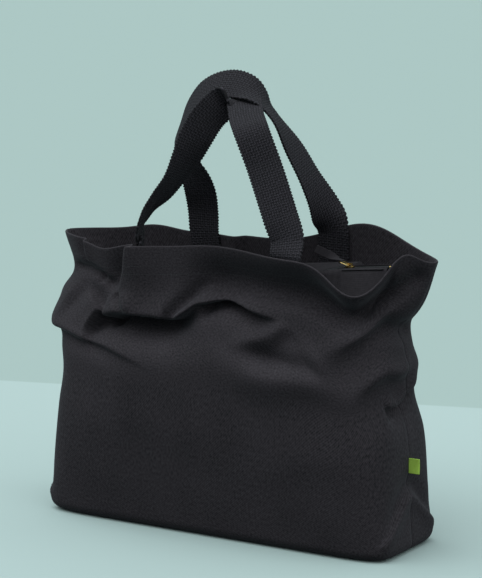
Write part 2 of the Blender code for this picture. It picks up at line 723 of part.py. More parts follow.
def build_slider(finishes, parent):
    """Make the slider: two flared plates on a wedge post, flanges on the chain, and a bridge."""
    end = SLIDER_LENGTH / 2
    corner = SLIDER_SHOULDER / 2
    edge = (
        (-end, SLIDER_WIDTH / 2 - SLIDER_SHOULDER),
        (-end + SLIDER_SHOULDER, SLIDER_WIDTH / 2),
        (0.0, SLIDER_WIDTH / 2),
        (end - corner, SLIDER_REAR / 2),
        (end, SLIDER_REAR / 2 - corner),
    )
    outline = [*edge, *((x, -y) for x, y in reversed(edge))]
    inner = SLIDER_CHANNEL / 2
    outer = inner + SLIDER_PLATE
    sunk = inner + SLIDER_PLATE / 2
    wedge = (
        (-end, 0.0),
        (-end + SLIDER_POST / 2, -SLIDER_POST_WIDTH / 2),
        (-end + SLIDER_POST, 0.0),
        (-end + SLIDER_POST / 2, SLIDER_POST_WIDTH / 2),
    )
    flange = (end - corner, SLIDER_FLANGE, sunk - TAPE_THICKNESS / 2 - CHANNEL_GAP)
    flange_y = (SLIDER_REAR - SLIDER_FLANGE) / 2
    flange_z = sunk - flange[2] / 2
    bridge = (BRIDGE_LENGTH, BRIDGE_WIDTH, SLOT_HEIGHT + BRIDGE_BAR + SLIDER_PLATE / 2)
    slot = (BRIDGE_LENGTH - 2 * BRIDGE_BAR, 2 * BRIDGE_WIDTH, SLOT_HEIGHT)
    slider = zip_object("zip_slider", prism("zip_slider", outline, inner, outer), finishes["brass"], parent)
    tools = [
        (prism("slider_post", wedge, -sunk, sunk), "UNION"),
        (prism("slider_low_plate", outline, -outer, -inner), "UNION"),
        (box("slider_bridge", bridge, (0, 0, sunk + bridge[2] / 2)), "UNION"),
        (box("slider_slot", slot, (0, 0, outer + SLOT_HEIGHT / 2)), "DIFFERENCE"),
    ]
    for label, up in (("high", 1), ("low", -1)):
        for side_label, side in (("front", FRONT), ("back", BACK)):
            centre = (flange[0] / 2, side * flange_y, up * flange_z)
            tools.append((box(f"slider_{label}_{side_label}_flange", flange, centre), "UNION"))
    for mesh, operation in tools:
        combine(slider, zip_object(mesh.name, mesh, finishes["brass"], parent), operation)


def wire_loop(name, corners, radius):
    """Sweep a round wire along a closed flat loop with rounded corners."""
    path = []
    for (x, y), start in corners:
        for angle in np.linspace(start, start + math.pi / 2, LINK_CORNER_POINTS):
            path.append((x + LINK_CORNER * math.cos(angle), y + LINK_CORNER * math.sin(angle)))
    bm = bmesh.new()
    rings = []
    count = len(path)
    for i, (x, y) in enumerate(path):
        ahead = Vector(path[(i + 1) % count]) - Vector(path[i - 1])
        out = Vector((ahead.y, -ahead.x)).normalized()
        ring = []
        for k in range(LINK_WIRE_SIDES):
            angle = 2 * math.pi * k / LINK_WIRE_SIDES
            reach = radius * math.cos(angle)
            ring.append(bm.verts.new((x + out.x * reach, y + out.y * reach, radius * math.sin(angle))))
        rings.append(ring)
    for i in range(count):
        here, there = rings[i], rings[(i + 1) % count]
        for k in range(LINK_WIRE_SIDES):
            ahead = (k + 1) % LINK_WIRE_SIDES
            bm.faces.new((here[k], here[ahead], there[ahead], there[k]))
    return finish_mesh(name, bm)


def build_pull(finishes, parent):
    """Make the pull: a wire link through the slider's bridge and a fabric tab on the link."""
    rise = Matrix.Rotation(PULL_RISE, 4, "Y")
    pivot = Vector((0.0, 0.0, PIVOT_Z))
    near, far = -LINK_CORNER, LINK_CORNER - LINK_LENGTH
    half = LINK_WIDTH / 2 - LINK_CORNER
    corners = (
        ((near, half), 0.0),
        ((far, half), math.pi / 2),
        ((far, -half), math.pi),
        ((near, -half), 3 * math.pi / 2),
    )
    mesh = wire_loop("pull_link", corners, LINK_WIRE / 2)
    mesh.transform(Matrix.Translation(pivot) @ rise)
    zip_object("pull_link", mesh, finishes["brass"], parent, tuple(pivot))
    eye = Vector((-LINK_LENGTH, 0.0, 0.0))
    eye_radius = LINK_WIRE / 2 + TAB_EYE_CLEARANCE
    outer = eye_radius + TAB_EYE_WALL
    profile = [(-TAB_LENGTH, -TAB_THICKNESS / 2), (-TAB_LENGTH, TAB_THICKNESS / 2)]
    shoulder = math.asin(TAB_THICKNESS / 2 / outer)
    for angle in np.linspace(math.pi - shoulder, shoulder - math.pi, TAB_EYE_STEPS + 1):
        profile.append((outer * math.cos(angle), outer * math.sin(angle)))
    turns = np.linspace(0.0, 2 * math.pi, TAB_EYE_STEPS, endpoint=False)
    circle = [(eye_radius * math.cos(angle), eye_radius * math.sin(angle)) for angle in turns]
    tab_mesh = prism("pull_tab", profile, -TAB_WIDTH / 2, TAB_WIDTH / 2)
    hole_mesh = prism("tab_eye", circle, -TAB_WIDTH, TAB_WIDTH)
    upright = Matrix.Rotation(math.pi / 2, 4, "X")
    place = Matrix.Translation(pivot) @ rise @ Matrix.Translation(eye)
    centre = tuple(place.to_translation())
    for piece in (tab_mesh, hole_mesh):
        piece.transform(place @ upright)
    tab = zip_object("pull_tab", tab_mesh, finishes["cloth"], parent, centre)
    hole = zip_object("tab_eye", hole_mesh, finishes["cloth"], parent, centre)
    combine(tab, hole, "DIFFERENCE")


def build_label(finish):
    """Make the folded label that stands out of the right side seam."""
    middle = LABEL_LOW + LABEL_HEIGHT / 2
    start = seam_x(1, seam_heights(LABEL_LOW, LABEL_LOW + LABEL_HEIGHT)).max() + LABEL_GAP
    size = (LABEL_LENGTH, LABEL_THICKNESS, LABEL_HEIGHT)
    mesh = box("side_label", size, (start + LABEL_LENGTH / 2, 0.0, middle))
    link_object("side_label", mesh, finish, (start, 0.0, middle))


def build():
    """Make the whole bag."""
    clear_scene()
    cotton = material("black_cotton_twill", (0.018, 0.017, 0.019), 0.92)
    lining = material("black_cotton_facing", (0.016, 0.015, 0.017), 0.94)
    webbing = material("black_cotton_webbing", (0.024, 0.022, 0.025), 0.88)
    tape = material("black_zip_tape", (0.014, 0.014, 0.016), 0.85)
    coil = material("black_nylon_coil", (0.012, 0.012, 0.014), 0.45)
    brass = material("gold_brass", (0.62, 0.46, 0.18), 0.28, 1.0)
    ribbon = material("green_woven_label", (0.16, 0.50, 0.05), 0.80)
    finishes = {"cloth": lining, "tape": tape, "coil": coil, "brass": brass}

    build_base(cotton)
    handles = (
        ("front", FRONT, (FRONT_HANDLE_LEFT, FRONT_HANDLE_RIGHT), FRONT_ROUTE),
        ("back", BACK, (BACK_HANDLE_LEFT, BACK_HANDLE_RIGHT), BACK_ROUTE),
    )
    zip_empty = bpy.data.objects.new("zip_line", None)
    zip_empty.matrix_world = zip_frame()
    bpy.context.scene.collection.objects.link(zip_empty)
    for label, side, ends, route in handles:
        knots = column_knots(side)
        hem_rows = [row for row in WALL_ROWS if row >= HEM_SHARE]
        layer(f"{label}_panel", side, knots, 0.0, WALL_ROWS, 0.0, CLOTH, cotton)
        layer(f"{label}_facing", side, knots, FACING_END, hem_rows, FACING_DEPTH, FACING_CLOTH, lining)
        build_handle(f"{label}_handle", side, ends, route, knots, webbing)
        build_strip(label, side, knots, lining, zip_empty)
        build_flap(label, side, finishes, zip_empty)
    build_seam_tape("left_seam_tape", -1, tape)
    build_seam_tape("right_seam_tape", 1, tape)
    build_shut_end(finishes, zip_empty)
    build_slider(finishes, zip_empty)
    build_pull(finishes, zip_empty)
    build_label(ribbon)


build()
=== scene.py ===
"""Dressed model of a soft cotton tote bag: slumped body, webbing handles, open zip, side label.

Metres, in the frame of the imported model: X along the width, -Y out of the front, +Z up. Every
cloth piece takes its place from one body form, so that each layer follows the layer that it is
sewn to. Folds are written in millimetres along the panel and up from the floor.
"""
import logging
import math
from dataclasses import dataclass, field, replace
from enum import Enum

import bpy
import numpy as np
from mathutils import Matrix, Vector


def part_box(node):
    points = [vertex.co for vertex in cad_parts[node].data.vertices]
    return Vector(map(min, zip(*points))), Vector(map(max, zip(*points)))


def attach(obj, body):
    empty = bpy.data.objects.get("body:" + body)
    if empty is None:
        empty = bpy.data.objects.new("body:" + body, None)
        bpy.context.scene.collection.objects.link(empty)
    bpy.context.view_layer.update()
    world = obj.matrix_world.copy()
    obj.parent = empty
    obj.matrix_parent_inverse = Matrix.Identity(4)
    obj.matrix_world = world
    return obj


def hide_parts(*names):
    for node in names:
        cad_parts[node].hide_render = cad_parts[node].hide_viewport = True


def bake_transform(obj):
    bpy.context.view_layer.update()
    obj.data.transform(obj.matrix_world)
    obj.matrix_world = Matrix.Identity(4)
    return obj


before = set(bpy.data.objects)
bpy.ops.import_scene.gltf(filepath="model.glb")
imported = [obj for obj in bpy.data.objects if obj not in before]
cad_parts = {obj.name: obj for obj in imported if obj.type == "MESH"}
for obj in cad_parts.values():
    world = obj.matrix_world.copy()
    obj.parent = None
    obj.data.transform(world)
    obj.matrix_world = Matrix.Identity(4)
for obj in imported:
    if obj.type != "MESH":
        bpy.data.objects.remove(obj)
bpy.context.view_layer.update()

LOG = logging.getLogger("tote")
MM = 0.001
Array = np.ndarray
Point = tuple[float, float, float]
# Sockets of a Mix node that carry its two colours and its mixed colour.
MIX_A, MIX_B, MIX_RESULT = 6, 7, 2
# Scale at which a wave texture repeats once in each metre.
WAVE_SCALE = math.pi / 10
# Edges that turn by more than this stay sharp on a hard piece.
SHARP_EDGE = math.radians(40)


class Side(Enum):
    """The two halves of the bag, by the sign of Y that they face."""

    FRONT = -1.0
    BACK = 1.0

    @property
    def label(self) -> str:
        """The side's word in the names of its pieces."""
        return self.name.lower()


class Weave(Enum):
    """How the yarns of a cloth cross."""

    TWILL = "diagonal ribs"
    PLAIN = "over and under"
    BASKET = "blocks of yarns"


# Small helpers


def srgb(code: str) -> tuple[float, float, float, float]:
    """Linear colour of an sRGB hex value."""
    parts = [int(code[i:i + 2], 16) / 255 for i in (1, 3, 5)]
    return (*(c / 12.92 if c <= 0.04045 else ((c + 0.055) / 1.055) ** 2.4 for c in parts), 1.0)


def ease(t: Array) -> Array:
    """Ramp from 0 to 1 with flat ends."""
    t = np.clip(t, 0.0, 1.0)
    return t * t * (3 - 2 * t)


def smooth_between(at: Array | float, places: Array | list, values: Array | list) -> Array:
    """Interpolate values with a smooth curve through given places.

    Args:
        at: Where the values are wanted.
        places: Rising places of the known values.
        values: The known values.

    Returns:
        The values at the wanted places.
    """
    places, values = np.asarray(places, float), np.asarray(values, float)
    slopes = np.gradient(values, places)
    at = np.clip(at, places[0], places[-1])
    low = np.clip(np.searchsorted(places, at, side="right") - 1, 0, len(places) - 2)
    width = places[low + 1] - places[low]
    t = (at - places[low]) / width
    start = values[low] * (1 + 2 * t) * (1 - t) ** 2
    end = values[low + 1] * t * t * (3 - 2 * t)
    lean = slopes[low] * t * (1 - t) ** 2 + slopes[low + 1] * t * t * (t - 1)
    return start + end + width * lean


def smooth_rows(at: Array, places: Array, rows: Array) -> Array:
    """Rows of values between given rows, with a smooth curve for each column."""
    return np.stack([smooth_between(at, places, column) for column in rows.T], axis=-1)


def lengths_along(points: Array) -> Array:
    """Length of a broken line from its first point to each of its points."""
    return np.concatenate([[0.0], np.cumsum(np.linalg.norm(np.diff(points, axis=0), axis=1))])


def smooth_line(points: Array, count: int) -> Array:
    """Points at even steps of length on a smooth curve through given points.

    Args:
        points: The given points, one in each row.
        count: How many points are wanted.

    Returns:
        The points, one in each row.
    """
    points = np.asarray(points, float)
    stops = lengths_along(points)
    return smooth_rows(np.linspace(0.0, stops[-1], count), stops, points)


def unit(vectors: Array) -> Array:
    """Vectors at length one."""
    return vectors / (np.linalg.norm(vectors, axis=-1, keepdims=True) + 1e-12)


def feed(tree: bpy.types.NodeTree, shader: bpy.types.Node, inputs: dict) -> None:
    """Set or link the inputs of a shader node.

    Args:
        tree: The node tree of a material or world.
        shader: The node.
        inputs: Values of its sockets, or the output sockets that are linked to them.
    """
    for name, value in inputs.items():
        if isinstance(value, bpy.types.NodeSocket):
            tree.links.new(value, shader.inputs[name])
        else:
            shader.inputs[name].default_value = value


def node(
    tree: bpy.types.NodeTree, kind: str, settings: dict | None = None, inputs: dict | None = None
) -> bpy.types.Node:
    """Add a shader node with its settings and inputs.

    Args:
        tree: The node tree of a material or world.
        kind: The node's type.
        settings: Properties of the node.
        inputs: Values of its sockets, or the output sockets that are linked to them.

    Returns:
        The new node.
    """
    made = tree.nodes.new(kind)
    for name, value in (settings or {}).items():
        setattr(made, name, value)
    feed(tree, made, inputs or {})
    return made


def blank_material(name: str) -> tuple[bpy.types.Material, bpy.types.Node]:
    """Start a material.

    Args:
        name: Its name.

    Returns:
        The material and its surface shader.
    """
    made = bpy.data.materials.new(name)
    made.use_nodes = True
    return made, made.node_tree.nodes["Principled BSDF"]


def deselect() -> None:
    """Leave nothing selected, so that an operator acts only on what it adds."""
    bpy.ops.object.select_all(action="DESELECT")


def pick_only(thing: bpy.types.Object) -> None:
    """Make one object the only selected and the active one.

    Args:
        thing: The object.
    """
    deselect()
    thing.select_set(True)
    bpy.context.view_layer.objects.active = thing


def named(name: str) -> bpy.types.Object:
    """Name the object that an operator has just added.

    Args:
        name: The name of the object and of its data.

    Returns:
        The object.
    """
    thing = bpy.context.active_object
    thing.name = name
    thing.data.name = name
    return thing


def points_of(thing: bpy.types.Object) -> Array:
    """Read the vertices of a mesh.

    Args:
        thing: The mesh object.

    Returns:
        The vertices, one in each row.
    """
    flat = np.empty(len(thing.data.vertices) * 3)
    thing.data.vertices.foreach_get("co", flat)
    return flat.reshape(-1, 3)


def move_points(thing: bpy.types.Object, points: Array) -> None:
    """Put the vertices of a mesh at given places."""
    thing.data.vertices.foreach_set("co", np.ascontiguousarray(points, float).ravel())
    thing.data.update()


def apply_all(thing: bpy.types.Object) -> None:
    """Apply the modifiers of an object, from the first to the last.

    Args:
        thing: The object.
    """
    pick_only(thing)
    for modifier in list(thing.modifiers):
        bpy.ops.object.modifier_apply(modifier=modifier.name)


def flat_grid(
    name: str, columns: int, rows: int, size: tuple[float, float]
) -> tuple[bpy.types.Object, Array, Array]:
    """Add a flat grid whose UV map is in metres.

    Args:
        name: Name of the new object.
        columns: Faces across.
        rows: Faces along.
        size: Width and length of the cloth, for the UV map.

    Returns:
        The object, and the column and row number of each of its points.
    """
    deselect()
    bpy.ops.mesh.primitive_grid_add(x_subdivisions=columns, y_subdivisions=rows, size=2.0)
    thing = named(name)
    flat = points_of(thing)
    layer = thing.data.uv_layers.active.data
    coords = np.empty(len(layer) * 2)
    layer.foreach_get("uv", coords)
    layer.foreach_set("uv", (coords.reshape(-1, 2) * size).ravel())
    column = np.rint((flat[:, 0] + 1) / 2 * columns).astype(int)
    row = np.rint((flat[:, 1] + 1) / 2 * rows).astype(int)
    return thing, column, row


def sheet_of(
    name: str, places: Array, size: tuple[float, float], thickness: float, offset: float
) -> bpy.types.Object:
    """Make a sheet of cloth from a grid of places.

    Args:
        name: Name of the new object.
        places: Rows of columns of points; columns run to the right as seen from the outer face.
        size: Width and length of the cloth, for the UV map.
        thickness: Thickness of the cloth.
        offset: -1 puts the thickness behind the outer face, 0 on both sides of it.

    Returns:
        The finished sheet.
    """
    rows, columns = places.shape[:2]
    thing, column, row = flat_grid(name, columns - 1, rows - 1, size)
    move_points(thing, places[row, column])
    cloth = thing.modifiers.new("thickness", "SOLIDIFY")
    cloth.thickness = thickness
    cloth.offset = offset
    apply_all(thing)
    bpy.ops.object.shade_smooth()
    return thing


def repeat_on(thing: bpy.types.Object, pitch: float, frames: tuple[Array, Array, Array]) -> None:
    """Repeat a small modelled piece along a line, with all the copies in its mesh.

    Args:
        thing: The piece, at the origin, with its length along X and its top along Z.
        pitch: A step that is longer than the piece.
        frames: Points, directions of length and directions of the top, one for each copy.
    """
    points, ahead, up = frames
    array = thing.modifiers.new("copies", "ARRAY")
    array.count = len(points)
    array.use_relative_offset = False
    array.use_constant_offset = True
    array.constant_offset_displace = (pitch, 0.0, 0.0)
    apply_all(thing)
    flat = points_of(thing)
    which = np.clip(np.rint(flat[:, 0] / pitch).astype(int), 0, len(points) - 1)
    local = flat - np.outer(which * pitch, (1.0, 0.0, 0.0))
    ahead, up = unit(ahead), unit(up)
    aside = unit(np.cross(up, ahead))
    up = np.cross(ahead, aside)
    moved = points[which]
    for k, way in enumerate((ahead, aside, up)):
        moved = moved + way[which] * local[:, k:k + 1]
    move_points(thing, moved)
    bpy.ops.object.shade_smooth()


# Finishes


@dataclass(frozen=True)
class ClothFinish:
    """A woven cloth, drawn on the piece's own UV map in metres.

    The weave is drawn coarser than the real yarn where that would be too fine to show. Slubs are
    yarn that varies in thickness over a few millimetres, and the wash is colour that varies softly
    over a hand's width.
    """

    name: str
    colour: str
    lit_yarn: str
    weave: Weave
    yarn: float
    relief: float
    roughness: float
    sheen: float
    contrast: float = 0.45
    twill_turn: float = 58.0
    slub: float = 2.6 * MM
    slub_detail: float = 3.0
    wash: float = 70 * MM
    wash_detail: float = 2.0
    wash_share: float = 0.3
    darkest: float = 0.42
    lightest: float = 0.88
    specular: float = 0.2
    sheen_roughness: float = 0.45
    sheen_tint: str = "#a9abb4"

    def ribs(
        self, tree: bpy.types.NodeTree, uv: bpy.types.NodeSocket, turn: float
    ) -> bpy.types.NodeSocket:
        """Parallel ribs on the cloth, a yarn apart.

        Args:
            tree: The material's node tree.
            uv: Place on the cloth, in metres.
            turn: Direction of the ribs, in degrees.

        Returns:
            Height of the ribs, from 0 to 1.
        """
        turned = node(
            tree, "ShaderNodeMapping", None, {"Vector": uv, "Rotation": (0, 0, math.radians(turn))}
        )
        wave = node(
            tree, "ShaderNodeTexWave", {"wave_type": "BANDS", "bands_direction": "X"},
            {"Vector": turned.outputs["Vector"], "Scale": WAVE_SCALE / self.yarn, "Distortion": 0.0},
        )
        return wave.outputs["Fac"]

    def height(self, tree: bpy.types.NodeTree, uv: bpy.types.NodeSocket) -> bpy.types.NodeSocket:
        """Height of the weave over the cloth.

        Args:
            tree: The material's node tree.
            uv: Place on the cloth, in metres.

        Returns:
            The height, from 0 to 1.
        """
        if self.weave is Weave.TWILL:
            return self.ribs(tree, uv, self.twill_turn)
        warp, weft = self.ribs(tree, uv, 0.0), self.ribs(tree, uv, 90.0)
        if self.weave is Weave.PLAIN:
            return node(tree, "ShaderNodeMath", {"operation": "MULTIPLY"}, {0: warp, 1: weft}).outputs[0]
        blocks = node(tree, "ShaderNodeTexChecker", None, {"Vector": uv, "Scale": 1 / self.yarn})
        mixed = node(
            tree, "ShaderNodeMix", {"data_type": "FLOAT"},
            {"Factor": blocks.outputs["Fac"], "A": warp, "B": weft},
        )
        return mixed.outputs["Result"]

    def material(self) -> bpy.types.Material:
        """Make the material.

        Returns:
            The material.
        """
        made, shader = blank_material(self.name)
        tree = made.node_tree
        uv = node(tree, "ShaderNodeTexCoord").outputs["UV"]
        weave = self.height(tree, uv)
        slub, wash = (
            node(tree, "ShaderNodeTexNoise", None, {"Vector": uv, "Scale": 1 / size, "Detail": detail})
            for size, detail in ((self.slub, self.slub_detail), (self.wash, self.wash_detail))
        )
        grain = node(
            tree, "ShaderNodeMath", {"operation": "MULTIPLY_ADD"},
            {0: weave, 1: self.contrast, 2: slub.outputs["Fac"]},
        )
        tone = node(
            tree, "ShaderNodeMath", {"operation": "MULTIPLY_ADD"},
            {0: wash.outputs["Fac"], 1: self.wash_share, 2: grain.outputs[0]},
        )
        lit = node(
            tree, "ShaderNodeMapRange", None,
            {"Value": tone.outputs[0], "From Min": self.darkest, "From Max": self.lightest + self.contrast},
        )
        colour = node(
            tree, "ShaderNodeMix", {"data_type": "RGBA"},
            {"Factor": lit.outputs["Result"], MIX_A: srgb(self.colour), MIX_B: srgb(self.lit_yarn)},
        )
        bump = node(
            tree, "ShaderNodeBump", None,
            {"Height": grain.outputs[0], "Strength": 1.0, "Distance": self.relief},
        )
        feed(tree, shader, {
            "Base Color": colour.outputs[MIX_RESULT],
            "Normal": bump.outputs["Normal"],
            "Roughness": self.roughness,
            "Specular IOR Level": self.specular,
            "Sheen Weight": self.sheen,
            "Sheen Roughness": self.sheen_roughness,
            "Sheen Tint": srgb(self.sheen_tint),
        })
        return made


@dataclass(frozen=True)
class SolidFinish:
    """A hard finish of one colour, with fine marks in its gloss."""

    name: str
    colour: str
    roughness: float
    metallic: float
    grain: float
    relief: float
    grain_detail: float = 4.0
    brighter: float = 0.08
    duller: float = 0.1

    def material(self) -> bpy.types.Material:
        """Make the material.

        Returns:
            The material.
        """
        made, shader = blank_material(self.name)
        tree = made.node_tree
        place = node(tree, "ShaderNodeTexCoord").outputs["Object"]
        marks = node(
            tree, "ShaderNodeTexNoise", None,
            {"Vector": place, "Scale": 1 / self.grain, "Detail": self.grain_detail},
        ).outputs["Fac"]
        rough = node(
            tree, "ShaderNodeMapRange", None,
            {
                "Value": marks,
                "To Min": self.roughness - self.brighter,
                "To Max": self.roughness + self.duller,
            },
        )
        bump = node(
            tree, "ShaderNodeBump", None, {"Height": marks, "Strength": 1.0, "Distance": self.relief}
        )
        feed(tree, shader, {
            "Base Color": srgb(self.colour),
            "Metallic": self.metallic,
            "Roughness": rough.outputs["Result"],
            "Normal": bump.outputs["Normal"],
        })
        return made


# Each cloth has a name, its dark and lit colours, weave, yarn, relief, roughness and sheen.
# Washed cotton twill: dull, with a dusty bloom where light grazes it and a faint diagonal rib.
TWILL = ClothFinish(
    "black_cotton_twill", "#19181c", "#48464c", Weave.TWILL, 1.7 * MM, 0.03 * MM, 0.86, 0.08, contrast=0.2
)
# Plain cotton of the zip panel and the pull's tab: thinner and smoother than the outside.
FACING = ClothFinish(
    "black_cotton_facing", "#222125", "#343338", Weave.PLAIN, 1.2 * MM, 0.08 * MM, 0.88, 0.07
)
# Basket-woven cotton webbing: thick yarns in blocks, so its surface looks pebbled.
WEBBING = ClothFinish(
    "black_cotton_webbing", "#0f0f12", "#3f3f46", Weave.BASKET, 2.9 * MM, 0.5 * MM, 0.84, 0.06, contrast=1.3
)
# Woven polyester tape: tight, with a slight shine.
ZIP_TAPE = ClothFinish("black_zip_tape", "#222226", "#303035", Weave.PLAIN, 1.0 * MM, 0.06 * MM, 0.7, 0.05)
# Woven ribbon: tight and even, with a clean bright colour.
RIBBON = ClothFinish("green_woven_label", "#bdf062", "#c9f676", Weave.PLAIN, 0.9 * MM, 0.05 * MM, 0.7, 0.05)
# Each hard finish has a name, its colour, roughness, metallic share, size of its marks and relief.
# Cotton sewing thread: round and a little brighter than the cloth.
THREAD = SolidFinish("black_sewing_thread", "#2a2a2e", 0.6, 0.0, 0.4 * MM, 0.02 * MM)
# Extruded nylon: smooth with a soft highlight along each turn.
NYLON = SolidFinish("black_nylon_coil", "#1c1c1f", 0.4, 0.0, 0.6 * MM, 0.01 * MM)
# Gold-coloured cast zinc: polished, with small dulled marks.
BRASS = SolidFinish("gold_brass", "#d3b276", 0.24, 1.0, 0.9 * MM, 0.01 * MM)


class Wardrobe:
    """The materials, each made once, by finish."""

    def __init__(self) -> None:
        """Start with no material made."""
        self.made: dict[str, bpy.types.Material] = {}

    def dress(
        self, thing: bpy.types.Object, finish: ClothFinish | SolidFinish, slot: str | None = None
    ) -> None:
        """Give a piece its finish.

        Args:
            thing: The piece.
            finish: Its finish.
            slot: Name of the material slot, where it isn't the finish's; it is not used.
        """
        if finish.name not in self.made:
            self.made[finish.name] = finish.material()
        thing.data.materials.clear()
        thing.data.materials.append(self.made[finish.name])
        LOG.info("%s: %d faces, %s", thing.name, len(thing.data.polygons), finish.name)


# Body


@dataclass(frozen=True)
class Level:
    """Shape of the body at one height: growth over the base on each side, and squareness."""

    share: float
    left: float
    right: float
    front: float
    back: float
    power: float
    root: float


@dataclass(frozen=True)
class HemShift:
    """A rise or dip of the hem and its push outwards, at a place along the panel."""

    side: Side
    along: float
    reach: float
    rise: float
    out: float


@dataclass(frozen=True)
class Fold:
    """A fold of the cloth along a line on a panel, in millimetres.

    The upper slope is on the left hand of the line, so above a line that runs to the right. A crest
    stands out along it, and a hollow lies on its other hand, past a drop as wide as the edge. The
    crest may droop over the hollow. Start and end are the shares of the line over which the fold
    grows and fades.
    """

    line: tuple[tuple[float, float], ...]
    crest: float
    hollow: float
    above: float
    edge: float
    below: float
    start: float = 0.2
    end: float = 0.2
    droop: float = 0.0
    steps: int = 48
    hollow_place: float = 1.5
    fade_width: float = 2.6

    def mirrored(self) -> "Fold":
        """The same fold on the other half of the panel."""
        return replace(self, line=tuple((-along, height) for along, height in self.line[::-1]))

    def moves(self, along: Array, height: Array) -> Array:
        """How far the fold moves the cloth outwards and down.

        Args:
            along: Places along the panel, in millimetres from its middle.
            height: Places up the panel, in millimetres from the floor.

        Returns:
            The two moves at each place, in millimetres.
        """
        path = smooth_line(np.array(self.line), self.steps)
        step = np.diff(path, axis=0)
        length = np.linalg.norm(step, axis=1)
        reach = max(self.above, self.below + self.edge * self.hollow_place, self.edge) * self.fade_width
        low, high = path.min(axis=0) - reach, path.max(axis=0) + reach
        near = (along > low[0]) & (along < high[0]) & (height > low[1]) & (height < high[1])
        place = np.stack([along[near], height[near]], axis=-1)
        best = np.full(len(place), np.inf)
        signed = np.zeros(len(place))
        share = np.zeros(len(place))
        for k in range(len(step)):
            ahead = step[k] / length[k]
            gap = place - path[k]
            t = np.clip(gap @ ahead, 0.0, length[k])
            away = gap - np.outer(t, ahead)
            distance = np.hypot(away[:, 0], away[:, 1])
            closer = distance < best
            best[closer] = distance[closer]
            left = ahead[0] * gap[:, 1] - ahead[1] * gap[:, 0]
            signed[closer] = (np.sign(left) * distance)[closer]
            share[closer] = ((k + t / length[k]) / len(step))[closer]
        fade = np.ones(len(place))
        if self.start > 0:
            fade *= ease(share / self.start)
        if self.end > 0:
            fade *= ease((1 - share) / self.end)
        crest = np.exp(-(signed / np.where(signed >= 0, self.above, self.edge)) ** 2)
        past = signed + self.hollow_place * self.edge
        hollow = np.exp(-(past / np.where(past < 0, self.below, self.edge)) ** 2)
        moved = np.zeros((*along.shape, 2))
        moved[near, 0] = fade * (self.crest * crest - self.hollow * hollow)
        moved[near, 1] = fade * self.droop * crest
        return moved


# From the floor to the hem: share of the height, growth to the left, right, front and back, then
# the power and the root that square the outline.
LEVELS = (
    Level(0.00, 0.009, 0.004, 0.003, 0.000, 9.0, 0.11),
    Level(0.20, 0.005, -0.001, 0.010, 0.005, 7.0, 0.16),
    Level(0.40, 0.001, -0.004, 0.014, 0.007, 5.5, 0.22),
    Level(0.54, -0.001, -0.013, 0.013, 0.005, 4.8, 0.27),
    Level(0.63, 0.009, -0.005, 0.011, 0.005, 4.3, 0.32),
    Level(0.70, 0.025, -0.009, 0.006, 0.003, 3.9, 0.38),
    Level(0.78, 0.012, -0.006, 0.000, 0.002, 3.6, 0.45),
    Level(0.86, 0.002, 0.011, -0.004, 0.000, 3.4, 0.52),
    Level(1.00, 0.018, 0.029, -0.002, -0.006, 3.4, 0.62),
)
# Each shift has its side, its place and reach along the panel, its rise and its push outwards.
HEM_SHIFTS = (
    HemShift(Side.FRONT, 0.193, 0.038, -0.034, 0.008),
    HemShift(Side.FRONT, 0.248, 0.020, 0.014, 0.000),
    HemShift(Side.FRONT, -0.170, 0.034, -0.009, 0.000),
    HemShift(Side.FRONT, -0.118, 0.026, 0.000, 0.010),
    HemShift(Side.FRONT, 0.000, 0.060, 0.006, -0.004),
    HemShift(Side.BACK, 0.140, 0.072, 0.027, 0.002),
    HemShift(Side.BACK, -0.170, 0.035, 0.006, 0.000),
)
# Sewn corners of the base on the right: the seam's ridge, and the hollow over it.
BOXED_CORNERS = (
    Fold(((221, 12), (255, 38), (291, 62), (327, 38), (361, 12)), 3.6, 0.0, 2.6, 10.0, 5.0, 0.1, 0.1),
    Fold(((228, 30), (258, 52), (291, 76), (324, 52), (354, 30)), -4.0, 0.0, 12.0, 6.0, 5.0, 0.25, 0.25),
)
